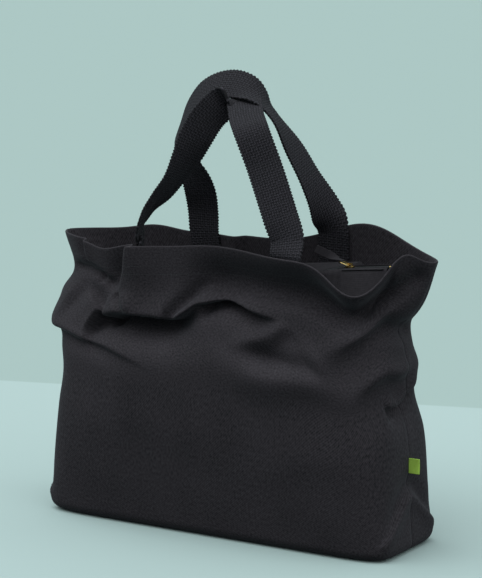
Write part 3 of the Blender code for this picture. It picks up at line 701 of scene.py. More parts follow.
# Folds that start on the front panel; those that reach a seam go on round it. The numbers after a
# line are its crest, hollow, above, edge, below, start and end.
FRONT_FOLDS = (
    # Sharp overhang under the hem, over a dark hollow.
    Fold(((-166, 257), (-154, 256), (-128, 257), (-104, 256), (-74, 254), (-44, 253), (-24, 257),
          (-8, 267)), 8.0, 28.0, 15.0, 4.0, 28.0, 0.05, 0.22, droop=9.0),
    # Its right half, a nose that closes on itself.
    Fold(((-22, 260), (-2, 271), (16, 276), (42, 274), (64, 269), (86, 264), (108, 260), (124, 257)),
         5.0, 20.0, 10.0, 3.5, 16.0, 0.15, 0.55, droop=7.0),
    # Ridge that climbs from the overhang towards the hem, and the hollow above it.
    Fold(((-46, 250), (-26, 257), (-14, 264), (-4, 272), (10, 277), (28, 281)),
         4.0, 0.0, 7.0, 9.0, 8.0, 0.2, 0.5),
    Fold(((-58, 250), (-50, 255), (-44, 261), (-36, 268), (-24, 276), (-8, 282)),
         -10.0, 0.0, 10.0, 8.0, 8.0, 0.12, 0.5),
    # Hollow under the hem, from the middle to the right corner.
    Fold(((-60, 283), (-34, 284), (-8, 286), (38, 287), (88, 287), (124, 287), (154, 288), (176, 292),
          (196, 295), (218, 287), (244, 280), (268, 290)), -20.0, 0.0, 23.0, 11.0, 8.0, 0.22, 0.12),
    # Edge of the hem that leans out over it.
    Fold(((30, 332), (80, 330), (130, 329), (165, 327), (195, 326), (222, 327), (250, 330)),
         10.0, 0.0, 10.0, 19.0, 8.0, 0.4, 0.25),
    # Small hollow below the right corner of the hem.
    Fold(((222, 288), (242, 284), (258, 295), (272, 309), (284, 318)),
         -8.0, 0.0, 9.0, 10.0, 8.0, 0.25, 0.25),
    # Band under the nose, and the soft hollow below that.
    Fold(((40, 220), (62, 225), (88, 233), (108, 242), (120, 250), (126, 259)),
         4.5, 3.0, 11.0, 10.0, 14.0, 0.45, 0.1),
    Fold(((56, 221), (86, 218), (114, 214), (138, 213), (158, 221), (174, 240)),
         -9.0, 0.0, 12.0, 11.0, 8.0, 0.35, 0.2),
    # Broad ridge that runs up to the right corner of the hem.
    Fold(((16, 208), (36, 202), (68, 196), (108, 194), (142, 206), (172, 232), (192, 258), (212, 272),
          (240, 276), (270, 294)), 9.0, 0.0, 17.0, 24.0, 16.0, 0.25, 0.12),
    # Right side: a hollow below the ridge, then a ridge and a lip that turn round the seam.
    Fold(((226, 250), (250, 248), (276, 250), (305, 247), (335, 244)),
         -10.0, 0.0, 10.0, 11.0, 8.0, 0.3, 0.3),
    Fold(((208, 208), (229, 204), (252, 202), (288, 208), (306, 218)),
         4.0, 2.0, 9.0, 8.0, 12.0, 0.3, 0.3),
    Fold(((250, 166), (266, 168), (280, 174), (292, 183), (312, 190), (330, 192)),
         6.0, 9.0, 9.0, 2.5, 13.0, 0.12, 0.3, droop=5.0),
    # Left side: a full lump, and a thin crease below it.
    Fold(((-280, 264), (-245, 260), (-210, 254)), 6.0, 0.0, 18.0, 20.0, 8.0, 0.3, 0.3),
    Fold(((-310, 228), (-275, 223), (-245, 220), (-216, 221), (-196, 221), (-170, 219), (-138, 211),
          (-114, 203), (-84, 194), (-58, 183)), 3.0, 4.5, 8.0, 3.5, 14.0, 0.12, 0.40),
    # Sharp edge of the lump beside the dark hollow; it runs up to the left, so its hollow is over it.
    Fold(((-126, 224), (-140, 235), (-156, 247), (-180, 261), (-208, 274)),
         5.0, 4.0, 18.0, 3.5, 10.0, 0.25, 0.35),
    # Bunched cloth under the left end of the hem.
    Fold(((-264, 290), (-238, 291), (-212, 292), (-190, 293), (-168, 286), (-150, 280)),
         -7.0, 0.0, 6.0, 6.0, 8.0, 0.25, 0.2),
    # Pleats in the left end of the hem.
    Fold(((-206, 334), (-206, 322), (-208, 308), (-202, 294)), 2.5, 4.5, 9.0, 2.5, 10.0, 0.0, 0.4),
    Fold(((-176, 300), (-180, 288), (-188, 278)), 1.5, 3.0, 6.0, 2.5, 6.0, 0.4, 0.4),
    # Upright edge in the hem beside the left end of the handle, and the small dart below it.
    Fold(((-116, 340), (-122, 326), (-132, 307), (-144, 287), (-147, 274)),
         4.0, 13.0, 26.0, 3.5, 17.0, 0.0, 0.25),
    Fold(((-150, 282), (-128, 268), (-108, 258)), 2.0, 4.0, 8.0, 3.0, 5.0, 0.2, 0.25),
    # Boxed corners of the base, on both sides.
    *(fold for corner in BOXED_CORNERS for fold in (corner, corner.mirrored())),
    # Fullness below the overhang, and slack in the lower front.
    Fold(((-190, 186), (-110, 190), (-20, 188), (60, 178)), 4.5, 0.0, 34.0, 46.0, 8.0, 0.35, 0.35),
    Fold(((-200, 120), (-120, 128), (-20, 112), (60, 90)), 1.4, 0.0, 26.0, 20.0, 8.0, 0.4, 0.4),
    Fold(((20, 60), (100, 92), (170, 120), (230, 128)), 1.6, 0.0, 24.0, 18.0, 8.0, 0.4, 0.4),
)
# Folds of the back panel, which slumps in the same way.
BACK_FOLDS = (
    Fold(((-190, 250), (-120, 243), (-50, 246), (30, 252), (110, 248), (170, 240)),
         4.0, 9.0, 16.0, 6.5, 18.0, 0.2, 0.3),
    Fold(((-150, 196), (-60, 186), (20, 192), (90, 206), (150, 226)),
         4.0, 2.0, 20.0, 12.0, 18.0, 0.3, 0.3),
    Fold(((60, 180), (130, 172), (200, 186), (240, 205)), 3.0, 3.0, 12.0, 6.0, 14.0, 0.3, 0.3),
    Fold(((-230, 210), (-180, 204), (-120, 212)), 3.0, 3.0, 12.0, 6.0, 14.0, 0.3, 0.4),
    Fold(((-40, 330), (-44, 300), (-60, 275)), 3.0, 5.0, 24.0, 8.0, 20.0, 0.0, 0.4),
    Fold(((-160, 110), (-60, 120), (60, 104), (160, 112)), 1.6, 0.0, 26.0, 20.0, 8.0, 0.4, 0.4),
)


@dataclass
class BodyForm:
    """The surface of the slumped body: every sewn layer is this surface at a depth."""

    base_width: float = 0.446
    base_depth: float = 0.136
    height: float = 0.326
    floor_round: float = 0.012
    push_start: float = 0.55
    seam_fade: int = 6
    seam_gap: float = 0.00004
    seam_groove: float = 0.5 * MM
    groove_width: float = 2.5 * MM
    fold_floor: float = 12.0 * MM
    outline_points: int = 721
    columns: int = 391
    rows: int = 327
    fields: dict[Side, tuple[Array, Array]] = field(default_factory=dict)

    def __post_init__(self) -> None:
        """Work out the folded surface and its normals on a fine grid for each side."""
        for side in Side:
            self.fields[side] = self.folded(side)

    @property
    def panel_width(self) -> float:
        """Width of a panel from seam to seam."""
        return self.base_width + self.base_depth

    def share(self, along: float) -> float:
        """Share of a panel's width at a distance from its middle."""
        return 0.5 + along / self.panel_width

    def outline(self, side: Side, share: float) -> tuple[Array, Array]:
        """Plan of one half of the body at a share of its height, from left seam to right seam.

        Args:
            side: The half.
            share: Share of the height.

        Returns:
            X and Y of the outline's points.
        """
        shares = [level.share for level in LEVELS]
        height = share * self.height
        inset = 0.0
        if height < self.floor_round:
            below = self.floor_round - height
            inset = self.floor_round - math.sqrt(self.floor_round ** 2 - below ** 2)
        left, right, front, back, power, root = (
            float(smooth_between(share, shares, [getattr(level, part) for level in LEVELS]))
            for part in ("left", "right", "front", "back", "power", "root")
        )
        depth = self.base_depth / 2 + (front if side is Side.FRONT else back) - inset
        t = -np.cos(np.linspace(0.0, math.pi, self.outline_points))
        x = np.where(t < 0, self.base_width / 2 + left - inset, self.base_width / 2 + right - inset) * t
        y = side.value * depth * (1 - np.abs(t) ** power).clip(0) ** root
        return x, y

    def wall(self, side: Side, u: Array, v: float) -> Array:
        """Smooth outer face of a panel, without folds.

        Args:
            side: The panel.
            u: Shares of its width, from left seam to right seam.
            v: Share of its height.

        Returns:
            The points.
        """
        u = np.atleast_1d(np.asarray(u, float))
        x, y = self.outline(side, min(v, 1.0))
        arc = np.concatenate([[0.0], np.cumsum(np.hypot(np.diff(x), np.diff(y)))])
        px, py = np.interp(u * arc[-1], arc, x), np.interp(u * arc[-1], arc, y)
        rise, out = np.zeros_like(u), np.zeros_like(u)
        for shift in HEM_SHIFTS:
            if shift.side is side:
                near = np.exp(-(((u - 0.5) * self.panel_width - shift.along) / shift.reach) ** 2)
                rise += shift.rise * near
                out += shift.out * near
        fade = 1 - np.abs(2 * u - 1) ** self.seam_fade
        py = py + side.value * out * fade * ease((v - self.push_start) / (1 - self.push_start))
        return np.stack([px, self.keep_side(side, py), v * (self.height + rise)], axis=-1)

    def keep_side(self, side: Side, y: Array) -> Array:
        """Hold a panel's points on its own side of the seam plane."""
        return side.value * np.maximum(side.value * y, self.seam_gap / 2)

    def normals(self, side: Side, points: Array) -> Array:
        """Outward normals of a grid of points on a panel, level and sideways at its two seams.

        Args:
            side: The panel.
            points: Rows of columns of its points.

        Returns:
            The normals.
        """
        cross = np.cross(np.gradient(points, axis=1), np.gradient(points, axis=0))
        found = unit(-side.value * cross)
        for column, way in ((0, -1.0), (-1, 1.0)):
            found[:, column] = (way, 0.0, 0.0)
        return found

    def folded(self, side: Side) -> tuple[Array, Array]:
        """The folded face of a panel on the fine grid.

        Args:
            side: The panel.

        Returns:
            Its points and its outward normals, in rows from the floor to the hem.
        """
        u, v = np.linspace(0, 1, self.columns), np.linspace(0, 1, self.rows)
        points = np.array([self.wall(side, u, row) for row in v])
        along, height = np.meshgrid((u - 0.5) * self.panel_width / MM, v * self.height / MM)
        own, other = (FRONT_FOLDS, BACK_FOLDS) if side is Side.FRONT else (BACK_FOLDS, FRONT_FOLDS)
        moved = sum(fold.moves(along, height) for fold in own)
        whole = self.panel_width / MM
        for round_seam in (whole - along, -whole - along):
            moved = moved + sum(fold.moves(round_seam, height) for fold in other)
        edge = (0.5 - np.abs(u - 0.5)) * self.panel_width / MM
        moved[..., 0] -= self.seam_groove / MM * np.exp(-(edge / (self.groove_width / MM)) ** 2)
        moved *= ease(height / (self.fold_floor / MM))[..., None]
        points = points + self.normals(side, points) * moved[..., :1] * MM
        points[..., 2] -= moved[..., 1] * MM
        points[..., 1] = self.keep_side(side, points[..., 1])
        return points, self.normals(side, points)

    def at(self, side: Side, u: Array, v: Array, depth: float = 0.0) -> Array:
        """Points of the folded panel at a depth inside its face.

        Args:
            side: The panel.
            u: Shares of its width.
            v: Shares of its height.
            depth: Distance behind the outer face.

        Returns:
            The points.
        """
        points, normals = self.fields[side]
        found = self.sample(points, u, v) - unit(self.sample(normals, u, v)) * depth
        found[..., 1] = self.keep_side(side, found[..., 1])
        return found

    def facing(self, side: Side, u: Array, v: Array) -> Array:
        """Outward normals of the folded panel at given shares of its width and height."""
        return unit(self.sample(self.fields[side][1], u, v))

    def sample(self, grid: Array, u: Array, v: Array) -> Array:
        """Read a grid of vectors between its points.

        Args:
            grid: Rows of columns of vectors.
            u: Shares of the grid's width.
            v: Shares of its height.

        Returns:
            The vectors at those places.
        """
        x = np.clip(u, 0, 1) * (self.columns - 1)
        y = np.clip(v, 0, 1) * (self.rows - 1)
        j = np.minimum(x.astype(int), self.columns - 2)
        i = np.minimum(y.astype(int), self.rows - 2)
        a, b = (y - i)[..., None], (x - j)[..., None]
        low = grid[i, j] * (1 - b) + grid[i, j + 1] * b
        high = grid[i + 1, j] * (1 - b) + grid[i + 1, j + 1] * b
        return low * (1 - a) + high * a


@dataclass
class Walls:
    """The cloth of the body: two panels with turned hems, the base, seam tapes and stitching."""

    form: BodyForm
    wardrobe: Wardrobe
    cloth: float = 0.0012
    hem_depth: float = 0.050
    hem_gap: float = 0.0002
    panel_columns: int = 256
    low_rows: int = 64
    low_crowding: float = 1.2
    fold_rows: int = 98
    folded_from: float = 0.54
    hem_rows: int = 15
    roll_steps: int = 5
    base_columns: int = 120
    base_rows: int = 32
    tape_width: float = 0.014
    tape_thickness: float = 0.0006
    tape_low: float = 0.030
    tape_high: float = 0.180
    tape_rows: int = 60
    tape_columns: int = 8
    tape_gap: float = 0.4 * MM
    tape_bow: float = 1.0 * MM
    stitch: Point = (1.25 * MM, 0.30 * MM, 0.20 * MM)
    stitch_rise: float = 0.05 * MM
    stitch_step: float = 6 * MM
    stitch_pitch: float = 0.0034
    stitch_lines: tuple[float, ...] = (0.0215, 0.0310)

    def build(self) -> None:
        """Make and dress all the pieces."""
        for side in Side:
            self.panel(side)
            self.hem_stitches(side)
        self.base()
        self.seam_tape("left", 0.0)
        self.seam_tape("right", 1.0)

    def panel(self, side: Side) -> None:
        """Make a panel and its hem as one cloth: up the outside, over the top and down inside.

        Args:
            side: The panel.
        """
        label = side.label
        u = np.linspace(0.0, 1.0, self.panel_columns + 1)
        turn = self.cloth + self.hem_gap / 2
        hem_share = 1 - self.hem_depth / self.form.height
        shares = np.concatenate([
            self.folded_from * np.linspace(0, 1, self.low_rows, endpoint=False) ** self.low_crowding,
            np.linspace(self.folded_from, 1, self.fold_rows + 1),
        ])
        rows = [self.form.at(side, u, np.full_like(u, v)) for v in shares]
        top = rows[-1]
        out = self.form.facing(side, u, np.ones_like(u))
        up = unit(rows[-1] - rows[-3])
        for angle in np.linspace(0, math.pi, self.roll_steps + 2)[1:-1]:
            rows.append(top + (out * (math.cos(angle) - 1) + up * math.sin(angle)) * turn)
        for v in np.linspace(1.0, hem_share, self.hem_rows + 1):
            rows.append(self.form.at(side, u, np.full_like(u, v), 2 * turn))
        places = np.array(rows)
        if side is Side.BACK:
            places = places[:, ::-1]
        size = (self.form.panel_width, self.form.height + self.hem_depth)
        cloth = sheet_of(f"{label}_panel_cloth", places, size, self.cloth, -1.0)
        self.wardrobe.dress(cloth, TWILL)
        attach(cloth, "bag")
        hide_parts(f"{label}_panel", f"{label}_facing")

    def base(self) -> None:
        """Make the base, sewn between the lower edges of the two panels."""
        u = np.linspace(0.0, 1.0, self.base_columns + 1)
        edges = [
            self.form.at(side, u, np.zeros_like(u), self.form.seam_gap) for side in (Side.BACK, Side.FRONT)
        ]
        share = np.linspace(0.0, 1.0, self.base_rows + 1)[:, None, None]
        places = edges[0] * (1 - share) + edges[1] * share
        places[..., 2] = 0.0
        size = (self.form.base_width, self.form.base_depth)
        cloth = sheet_of("base_cloth", places, size, self.cloth, -1.0)
        self.wardrobe.dress(cloth, TWILL)
        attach(cloth, "bag")
        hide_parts("base_panel")

    def seam_tape(self, label: str, u: float) -> None:
        """Make the tape that covers a side seam on the inside.

        Args:
            label: Left or right.
            u: The seam's share of the panels' width.
        """
        shares = np.linspace(self.tape_low, self.tape_high, self.tape_rows + 1) / self.form.height
        middle = self.form.at(Side.FRONT, np.full_like(shares, u), shares)
        way = -1.0 if u == 0.0 else 1.0
        across = np.linspace(-self.tape_width / 2, self.tape_width / 2, self.tape_columns + 1)
        places = np.repeat(middle[:, None, :], len(across), axis=1)
        places[..., 0] -= way * (self.cloth + self.tape_gap + self.tape_bow * (across / across[-1]) ** 2)
        places[..., 1] = across * way
        size = (self.tape_width, self.tape_high - self.tape_low)
        tape = sheet_of(f"{label}_seam_ribbon", places, size, self.tape_thickness, -1.0)
        self.wardrobe.dress(tape, ZIP_TAPE)
        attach(tape, "bag")
        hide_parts(f"{label}_seam_tape")

    def hem_stitches(self, side: Side) -> None:
        """Sew the hem with two lines of thread.

        Args:
            side: The panel.
        """
        label = side.label
        deselect()
        bpy.ops.mesh.primitive_uv_sphere_add(segments=6, ring_count=4, radius=1.0)
        thread = named(f"{label}_hem_stitches")
        move_points(thread, points_of(thread) * self.stitch)
        # A stitch and a half is left free at each seam.
        count = int(self.form.panel_width / self.stitch_pitch) - 2
        u = (np.arange(count) + 1.5) * self.stitch_pitch / self.form.panel_width
        points, ahead, up = [], [], []
        for depth in self.stitch_lines:
            v = np.full_like(u, 1 - depth / self.form.height)
            line = self.form.at(side, u, v, -self.stitch_rise)
            points.append(line)
            ahead.append(np.gradient(line, axis=0))
            up.append(self.form.facing(side, u, v))
        repeat_on(thread, self.stitch_step, tuple(np.concatenate(part) for part in (points, ahead, up)))
        self.wardrobe.dress(thread, THREAD, "black_cotton_twill")
        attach(thread, "bag")


# Handles


@dataclass(frozen=True)
class RoutePoint:
    """A point of a handle: share of its span, reach backwards, height, and width direction."""

    share: float
    back: float
    up: float
    across: Point


@dataclass
class Handle:
    """One handle: a strip of webbing, sewn inside the hem at both ends."""

    form: BodyForm
    wardrobe: Wardrobe
    side: Side
    ends: tuple[float, float]
    route: tuple[RoutePoint, ...]
    lean: Point | None = None
    width: float = 0.040
    thickness: float = 0.0025
    stand: float = 0.006
    hinge_gap: float = 0.0003
    layer_depth: float = 0.0030
    sewn_depth: float = 0.042
    foot_rows: int = 5
    foot_columns: int = 8
    step: float = 0.00066
    columns: int = 40
    scallop: float = 0.0037
    scallop_depth: float = 0.0015
    weave: float = 0.0026
    weave_relief: float = 0.00028
    weave_slant: float = 1.41
    edge_power: int = 8
    flat_edge_power: int = 12
    bend_length: float = 0.030

    def foot(self, along: float) -> Array:
        """Where the CAD loop starts, just above the hem, at one end.

        Args:
            along: Place of the end along the panel.

        Returns:
            The point.
        """
        u = self.form.share(along + np.array([-1.0, 0.0, 1.0]) * self.width / 2)
        point = self.form.wall(self.side, u, 1.0)
        point[1, 1] -= self.side.value * (self.layer_depth + self.thickness / 2)
        return np.array([*point[1, :2], point[:, 2].max() + self.stand + self.hinge_gap])

    def sewn(self, along: float, sign: float, lean: Point | None) -> tuple[list, list]:
        """Points and width directions of a sewn end, from its lower edge to the hem's top.

        Args:
            along: Place of the end along the panel.
            sign: -1 where the strip's width runs to the left, 1 where it runs to the right.
            lean: Width direction at the hem's top, where the strip turns away from the cloth.

        Returns:
            The points and the width directions.
        """
        depth = self.layer_depth + self.thickness / 2
        spread = np.linspace(-1.0, 1.0, self.foot_columns + 1)
        centre = self.foot_columns // 2
        u = self.form.share(along + spread * self.width / 2)
        places, across = [], []
        for share in np.linspace(0.0, 1.0, self.foot_rows):
            v = np.full_like(u, 1 - self.sewn_depth * (1 - share) / self.form.height)
            line = self.form.at(self.side, u, v, depth)
            out = self.form.facing(self.side, u, v)[centre]
            wide = unit(line[-1] - line[0]) * sign
            strip = line[centre] + np.outer(spread * self.width / 2, wide * sign)
            middle = line[centre] - out * max(0.0, float(((strip - line) @ out).max()))
            if lean is not None:
                turn = float(ease(share))
                wide = unit(wide * (1 - turn) + np.array(lean) * turn)
                middle = middle + wide * (self.width / 2 * turn)
            places.append(middle)
            across.append(wide)
        return places, across

    def strip(self) -> tuple[Array, Array]:
        """Route of the strip, from one sewn end to the other.

        Returns:
            The points of its middle line and its width directions.
        """
        start, end = (self.foot(along) for along in self.ends)
        places, across = self.sewn(self.ends[0], -1.0, self.lean)
        for point in self.route:
            places.append(start + (end - start) * point.share + np.array([0.0, point.back, point.up]))
            across.append(unit(np.array(point.across)))
        last, last_across = self.sewn(self.ends[1], 1.0, None)
        return np.array(places + last[::-1]), np.array(across + last_across[::-1])

    def build(self) -> None:
        """Weave the strip along its route."""
        label = self.side.label
        places, wide = self.strip()
        stops = lengths_along(places)
        at = np.linspace(0.0, stops[-1], int(stops[-1] / self.step) + 1)
        line, across = smooth_rows(at, stops, places), smooth_rows(at, stops, wide)
        ahead = unit(np.gradient(line, axis=0))
        across = unit(across - ahead * (across * ahead).sum(axis=-1, keepdims=True))
        out = np.cross(ahead, across)
        share = np.linspace(-1.0, 1.0, self.columns + 1)
        edge = self.scallop_depth * (np.abs(np.sin(math.pi * at / self.scallop)) - 1)
        reach = (self.width / 2 + edge[:, None] * np.abs(share) ** self.edge_power) * share
        over, under = (
            np.sin(2 * math.pi * (at[:, None] + way * self.width / 2) / self.weave / self.weave_slant)
            for way in (share, -share)
        )
        relief = self.weave_relief * over * under * (1 - share ** self.flat_edge_power)
        places = line[:, None] + across[:, None] * reach[..., None] + out[:, None] * relief[..., None]
        size = (self.width, float(stops[-1]))
        webbing = sheet_of(f"{label}_webbing", places, size, self.thickness, 0.0)
        self.wardrobe.dress(webbing, WEBBING)
        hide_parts(*(f"{label}_handle{part}" for part in ("", "_left_end", "_right_end")))
        feet = [self.foot(along) for along in self.ends]
        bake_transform(webbing)


# Places of the sewn ends along the panels, and the width direction of the front strip at its left
# end. Each point of a route has its share of the span, reach backwards, height and width direction.
FRONT_ENDS = (-0.108, 0.103)
BACK_ENDS = (-0.097, 0.092)
FRONT_LEAN = (-0.42, 0.90, 0.0)
FRONT_ROUTE = (
    RoutePoint(-0.040, 0.0192, 0.012, (-0.42, 0.90, -0.10)),
    RoutePoint(0.002, 0.0210, 0.030, (-0.30, 0.94, -0.12)),
    RoutePoint(0.087, 0.025, 0.050, (-0.04, 0.97, -0.20)),
    RoutePoint(0.169, 0.028, 0.071, (0.04, 0.97, -0.25)),
    RoutePoint(0.231, 0.033, 0.095, (0.32, 0.86, -0.40)),
    RoutePoint(0.278, 0.039, 0.118, (0.58, 0.64, -0.50)),
    RoutePoint(0.350, 0.053, 0.146, (0.60, 0.66, -0.36)),
    RoutePoint(0.417, 0.067, 0.1585, (0.55, 0.78, 0.08)),
    RoutePoint(0.490, 0.068, 0.1580, (0.60, 0.76, 0.20)),
    RoutePoint(0.550, 0.055, 0.1520, (0.70, 0.68, 0.15)),
    RoutePoint(0.608, 0.039, 0.1440, (0.75, 0.64, 0.17)),
    RoutePoint(0.685, 0.022, 0.133, (0.76, 0.60, 0.24)),
    RoutePoint(0.799, 0.016, 0.090, (0.80, 0.51, 0.31)),
    RoutePoint(0.937, 0.005, 0.036, (0.88, 0.43, 0.20)),
    RoutePoint(0.989, 0.001, 0.014, (0.98, 0.12, 0.05)),
)
BACK_ROUTE = (
    RoutePoint(0.001, -0.004, 0.022, (-0.99, -0.10, 0.00)),
    RoutePoint(0.012, -0.014, 0.047, (-0.96, -0.10, -0.15)),
    RoutePoint(-0.014, -0.024, 0.072, (-0.90, 0.28, -0.32)),
    RoutePoint(-0.100, -0.030, 0.094, (-0.66, 0.74, 0.10)),
    RoutePoint(-0.034, -0.038, 0.122, (-0.51, 0.77, 0.38)),
    RoutePoint(0.038, -0.041, 0.145, (-0.46, 0.76, 0.46)),
    RoutePoint(0.138, -0.043, 0.160, (-0.36, 0.70, 0.61)),
    RoutePoint(0.279, -0.043, 0.168, (-0.17, 0.70, 0.69)),
    RoutePoint(0.400, -0.043, 0.166, (0.02, 0.69, 0.72)),
    RoutePoint(0.490, -0.043, 0.160, (0.06, 0.82, 0.57)),
    RoutePoint(0.560, -0.042, 0.151, (-0.08, 0.95, 0.28)),
    RoutePoint(0.622, -0.040, 0.138, (-0.30, 0.95, 0.05)),
    RoutePoint(0.672, -0.037, 0.126, (-0.36, 0.93, 0.04)),
    RoutePoint(0.794, -0.028, 0.087, (-0.11, 0.97, 0.23)),
    RoutePoint(0.900, -0.018, 0.046, (0.06, 0.96, 0.28)),
    RoutePoint(0.962, -0.008, 0.016, (0.50, 0.85, 0.15)),
)


# Zip


@dataclass
class ZipPanel:
    """The zip panel: strips from the walls, open halves with their teeth, and the shut end."""

    form: BodyForm
    wardrobe: Wardrobe
    origin: Point = (0.142, 0.004, 0.311)
    rise: float = math.radians(6.0)
    open_length: float = 0.300
    shut_length: float = 0.050
    open_angle: float = math.radians(70.0)
    turn_start: float = 0.0055
    turn_length: float = 0.120
    hinge_rise: float = 0.003
    front_hinge: float = -0.040
    back_hinge: float = 0.034
    strip_share: float = 0.857
    strip_depth: float = 0.0031
    strip_sag: float = 0.0012
    wall_clearance: float = 0.0062
    strip_lap: float = 0.003
    strip_lift: float = 0.0016
    strip_overrun: float = 0.004
    strip_width: float = 0.036
    wall_margin: float = 0.02
    wall_points: int = 400
    wall_rows: int = 24
    open_points: int = 120
    shut_points: int = 26
    half_points: int = 150
    cloth_rows: int = 10
    cloth: float = 0.0008
    tape_width: float = 0.013
    tape: float = 0.0006
    coil_width: float = 0.0023
    gap: float = 0.0003
    flap_gap: float = 0.0006
    tooth_pitch: float = 0.0015
    tooth_margin: float = 0.001
    tooth_step: float = 4 * MM
    ring_radius: float = 0.8 * MM
    ring_wire: float = 0.34 * MM
    normal_step: float = 0.001
    meshed_start: float = 0.0045
    meshed_end: float = 0.0005
    meshed_share: float = 0.42
    shut_tape_start: float = 0.0033
    shut_tape_points: int = 31
    shut_tape_rows: int = 8
    parting: float = 0.0011
    parting_start: float = 0.2848
    parting_length: float = 0.0042
    stop_length: float = 0.003
    stop_height: float = 0.0034
    stop_edge: float = 0.7 * MM

    @property
    def turn(self) -> Array:
        """Turn from the zip's frame, with X along the chain and Z out of the bag, to the world."""
        return np.array(Matrix.Rotation(-self.rise, 3, "Y"))

    def to_world(self, local: Array) -> Array:
        """Points of the zip's frame in the world."""
        return np.asarray(local) @ self.turn.T + np.array(self.origin)

    def to_zip(self, points: Array) -> Array:
        """Points of the world in the zip's frame."""
        return (points - np.array(self.origin)) @ self.turn

    def way(self, local: Point) -> Array:
        """A direction of the zip's frame in the world."""
        return self.to_world(local) - np.array(self.origin)

    def hinge(self, side: Side) -> Array:
        """Y and Z of a half's hinge in the zip's frame."""
        return np.array([self.front_hinge if side is Side.FRONT else self.back_hinge, self.hinge_rise])

    def half_line(self, side: Side, x: Array, reach: Array, lift: float = 0.0) -> Array:
        """Lines along an open half at given distances from its toothed edge.

        Args:
            side: The half.
            x: Places along the chain.
            reach: Distances from the toothed edge, one for each place.
            lift: Distance out of the cloth's face.

        Returns:
            The points in the world.
        """
        hinge = self.hinge(side)
        width = np.linalg.norm(hinge)
        shut = -hinge / width
        # At the far end the two rows part, as they do round the slider's post when it is drawn there.
        reach = reach + self.parting * ease((-x - self.parting_start) / self.parting_length)
        drop = side.value * self.open_angle * ease((-x - self.turn_start) / self.turn_length)
        cos, sin = np.cos(drop), np.sin(drop)
        out = np.stack([shut[0] * cos - shut[1] * sin, shut[0] * sin + shut[1] * cos], axis=-1)
        normal = np.stack([-out[:, 1], out[:, 0]], axis=-1) * -side.value
        yz = hinge + out * (width - reach)[:, None] + normal * lift
        return self.to_world(np.column_stack([x, yz]))

    def join_half(self, piece: bpy.types.Object) -> None:
        """Bake the placement of a soft piece of an open half into its mesh.

        Args:
            piece: The piece.
        """
        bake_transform(piece)

    def build(self) -> None:
        """Make and dress all the pieces."""
        for side in Side:
            self.strip(side)
            self.half(side)
            self.teeth(side)
            self.end_stop(side)
            self.shut_tape(side)
        self.shut_teeth()
        middle = self.shut_length + self.gap + self.stop_length / 2
        stop = self.clamp("shut_clamp", np.array([[middle, 0.0, 0.0]]), 2 * self.coil_width + self.gap)
        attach(stop, "bag")
        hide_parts("zip_shut_stop")

    def strip(self, side: Side) -> None:
        """Make the sewn strip between a wall and the zip.

        Args:
            side: The wall.
        """
        label = side.label
        u = np.linspace(self.wall_margin, 1 - self.wall_margin, self.wall_points)
        edge = self.to_zip(self.form.at(side, u, np.full_like(u, self.strip_share), self.strip_depth))
        order = np.argsort(edge[:, 0])
        x = np.concatenate([
            np.linspace(-self.open_length, -self.turn_start, self.open_points),
            np.linspace(-self.turn_start + self.gap, self.shut_length + self.strip_overrun, self.shut_points),
        ])
        outer = np.column_stack([x, *(np.interp(x, edge[order, 0], edge[order, k]) for k in (1, 2))])
        hinge = self.hinge(side)
        shut_y = side.value * (self.coil_width + self.tape_width - self.strip_lap)
        inner = np.column_stack([x, np.where(
            (x <= -self.turn_start)[:, None],
            (hinge[0] + side.value * self.flap_gap, hinge[1]),
            (shut_y, self.strip_lift),
        )])
        share = np.linspace(0.0, 1.0, self.cloth_rows + 1)
        places = outer[None] * (1 - share)[:, None, None] + inner[None] * share[:, None, None]
        places[..., 2] -= self.strip_sag * np.sin(math.pi * share)[:, None]
        places = self.to_world(places)
        self.clear_wall(side, places, np.interp(x, edge[order, 0], u[order]))
        if side is Side.BACK:
            places = places[::-1]
        size = (float(x[-1] - x[0]), self.strip_width)
        cloth = sheet_of(f"zip_{label}_strip_cloth", places, size, self.cloth, 0.0)
        self.wardrobe.dress(cloth, FACING)
        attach(cloth, "bag")
        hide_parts(f"zip_{label}_strip")

    def clear_wall(self, side: Side, places: Array, u: Array) -> None:
        """Hold a strip behind the hem and the handles' ends of the wall that it hangs from.

        Args:
            side: The wall.
            places: The strip's points, in rows from the wall to the zip; they are moved in place.
            u: Share of the wall's width at each column.
        """
        shares = np.linspace(self.strip_share, 1.0, self.wall_rows + 1)
        for column, share in enumerate(u):
            wall = self.form.at(side, np.full_like(shares, share), shares, self.wall_clearance)
            limit = np.interp(places[1:, column, 2], wall[:, 2], wall[:, 1])
            kept = np.minimum(side.value * places[1:, column, 1], side.value * limit)
            places[1:, column, 1] = side.value * kept

    def half(self, side: Side) -> None:
        """Make the cloth flap and the zip tape of an open half.

        Args:
            side: The half.
        """
        label = side.label
        width = float(np.linalg.norm(self.hinge(side)))
        tape_far = self.coil_width + self.tape_width
        x = np.linspace(-self.open_length, -self.turn_start - self.gap, self.half_points)
        for part, near, far, thickness, finish in (
            ("flap", tape_far + self.gap, width - self.gap, self.cloth, FACING),
            ("tape", self.coil_width + self.gap, tape_far, self.tape, ZIP_TAPE),
        ):
            reach = np.linspace(far, near, self.cloth_rows + 1)
            places = np.array([self.half_line(side, x, np.full_like(x, r)) for r in reach])
            if side is Side.BACK:
                places = places[::-1]
            size = (float(x[-1] - x[0]), far - near)
            cloth = sheet_of(f"zip_{label}_{part}_cloth", places, size, thickness, 0.0)
            self.wardrobe.dress(cloth, finish)
            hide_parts(f"zip_{label}_{part}")
            self.join_half(cloth)

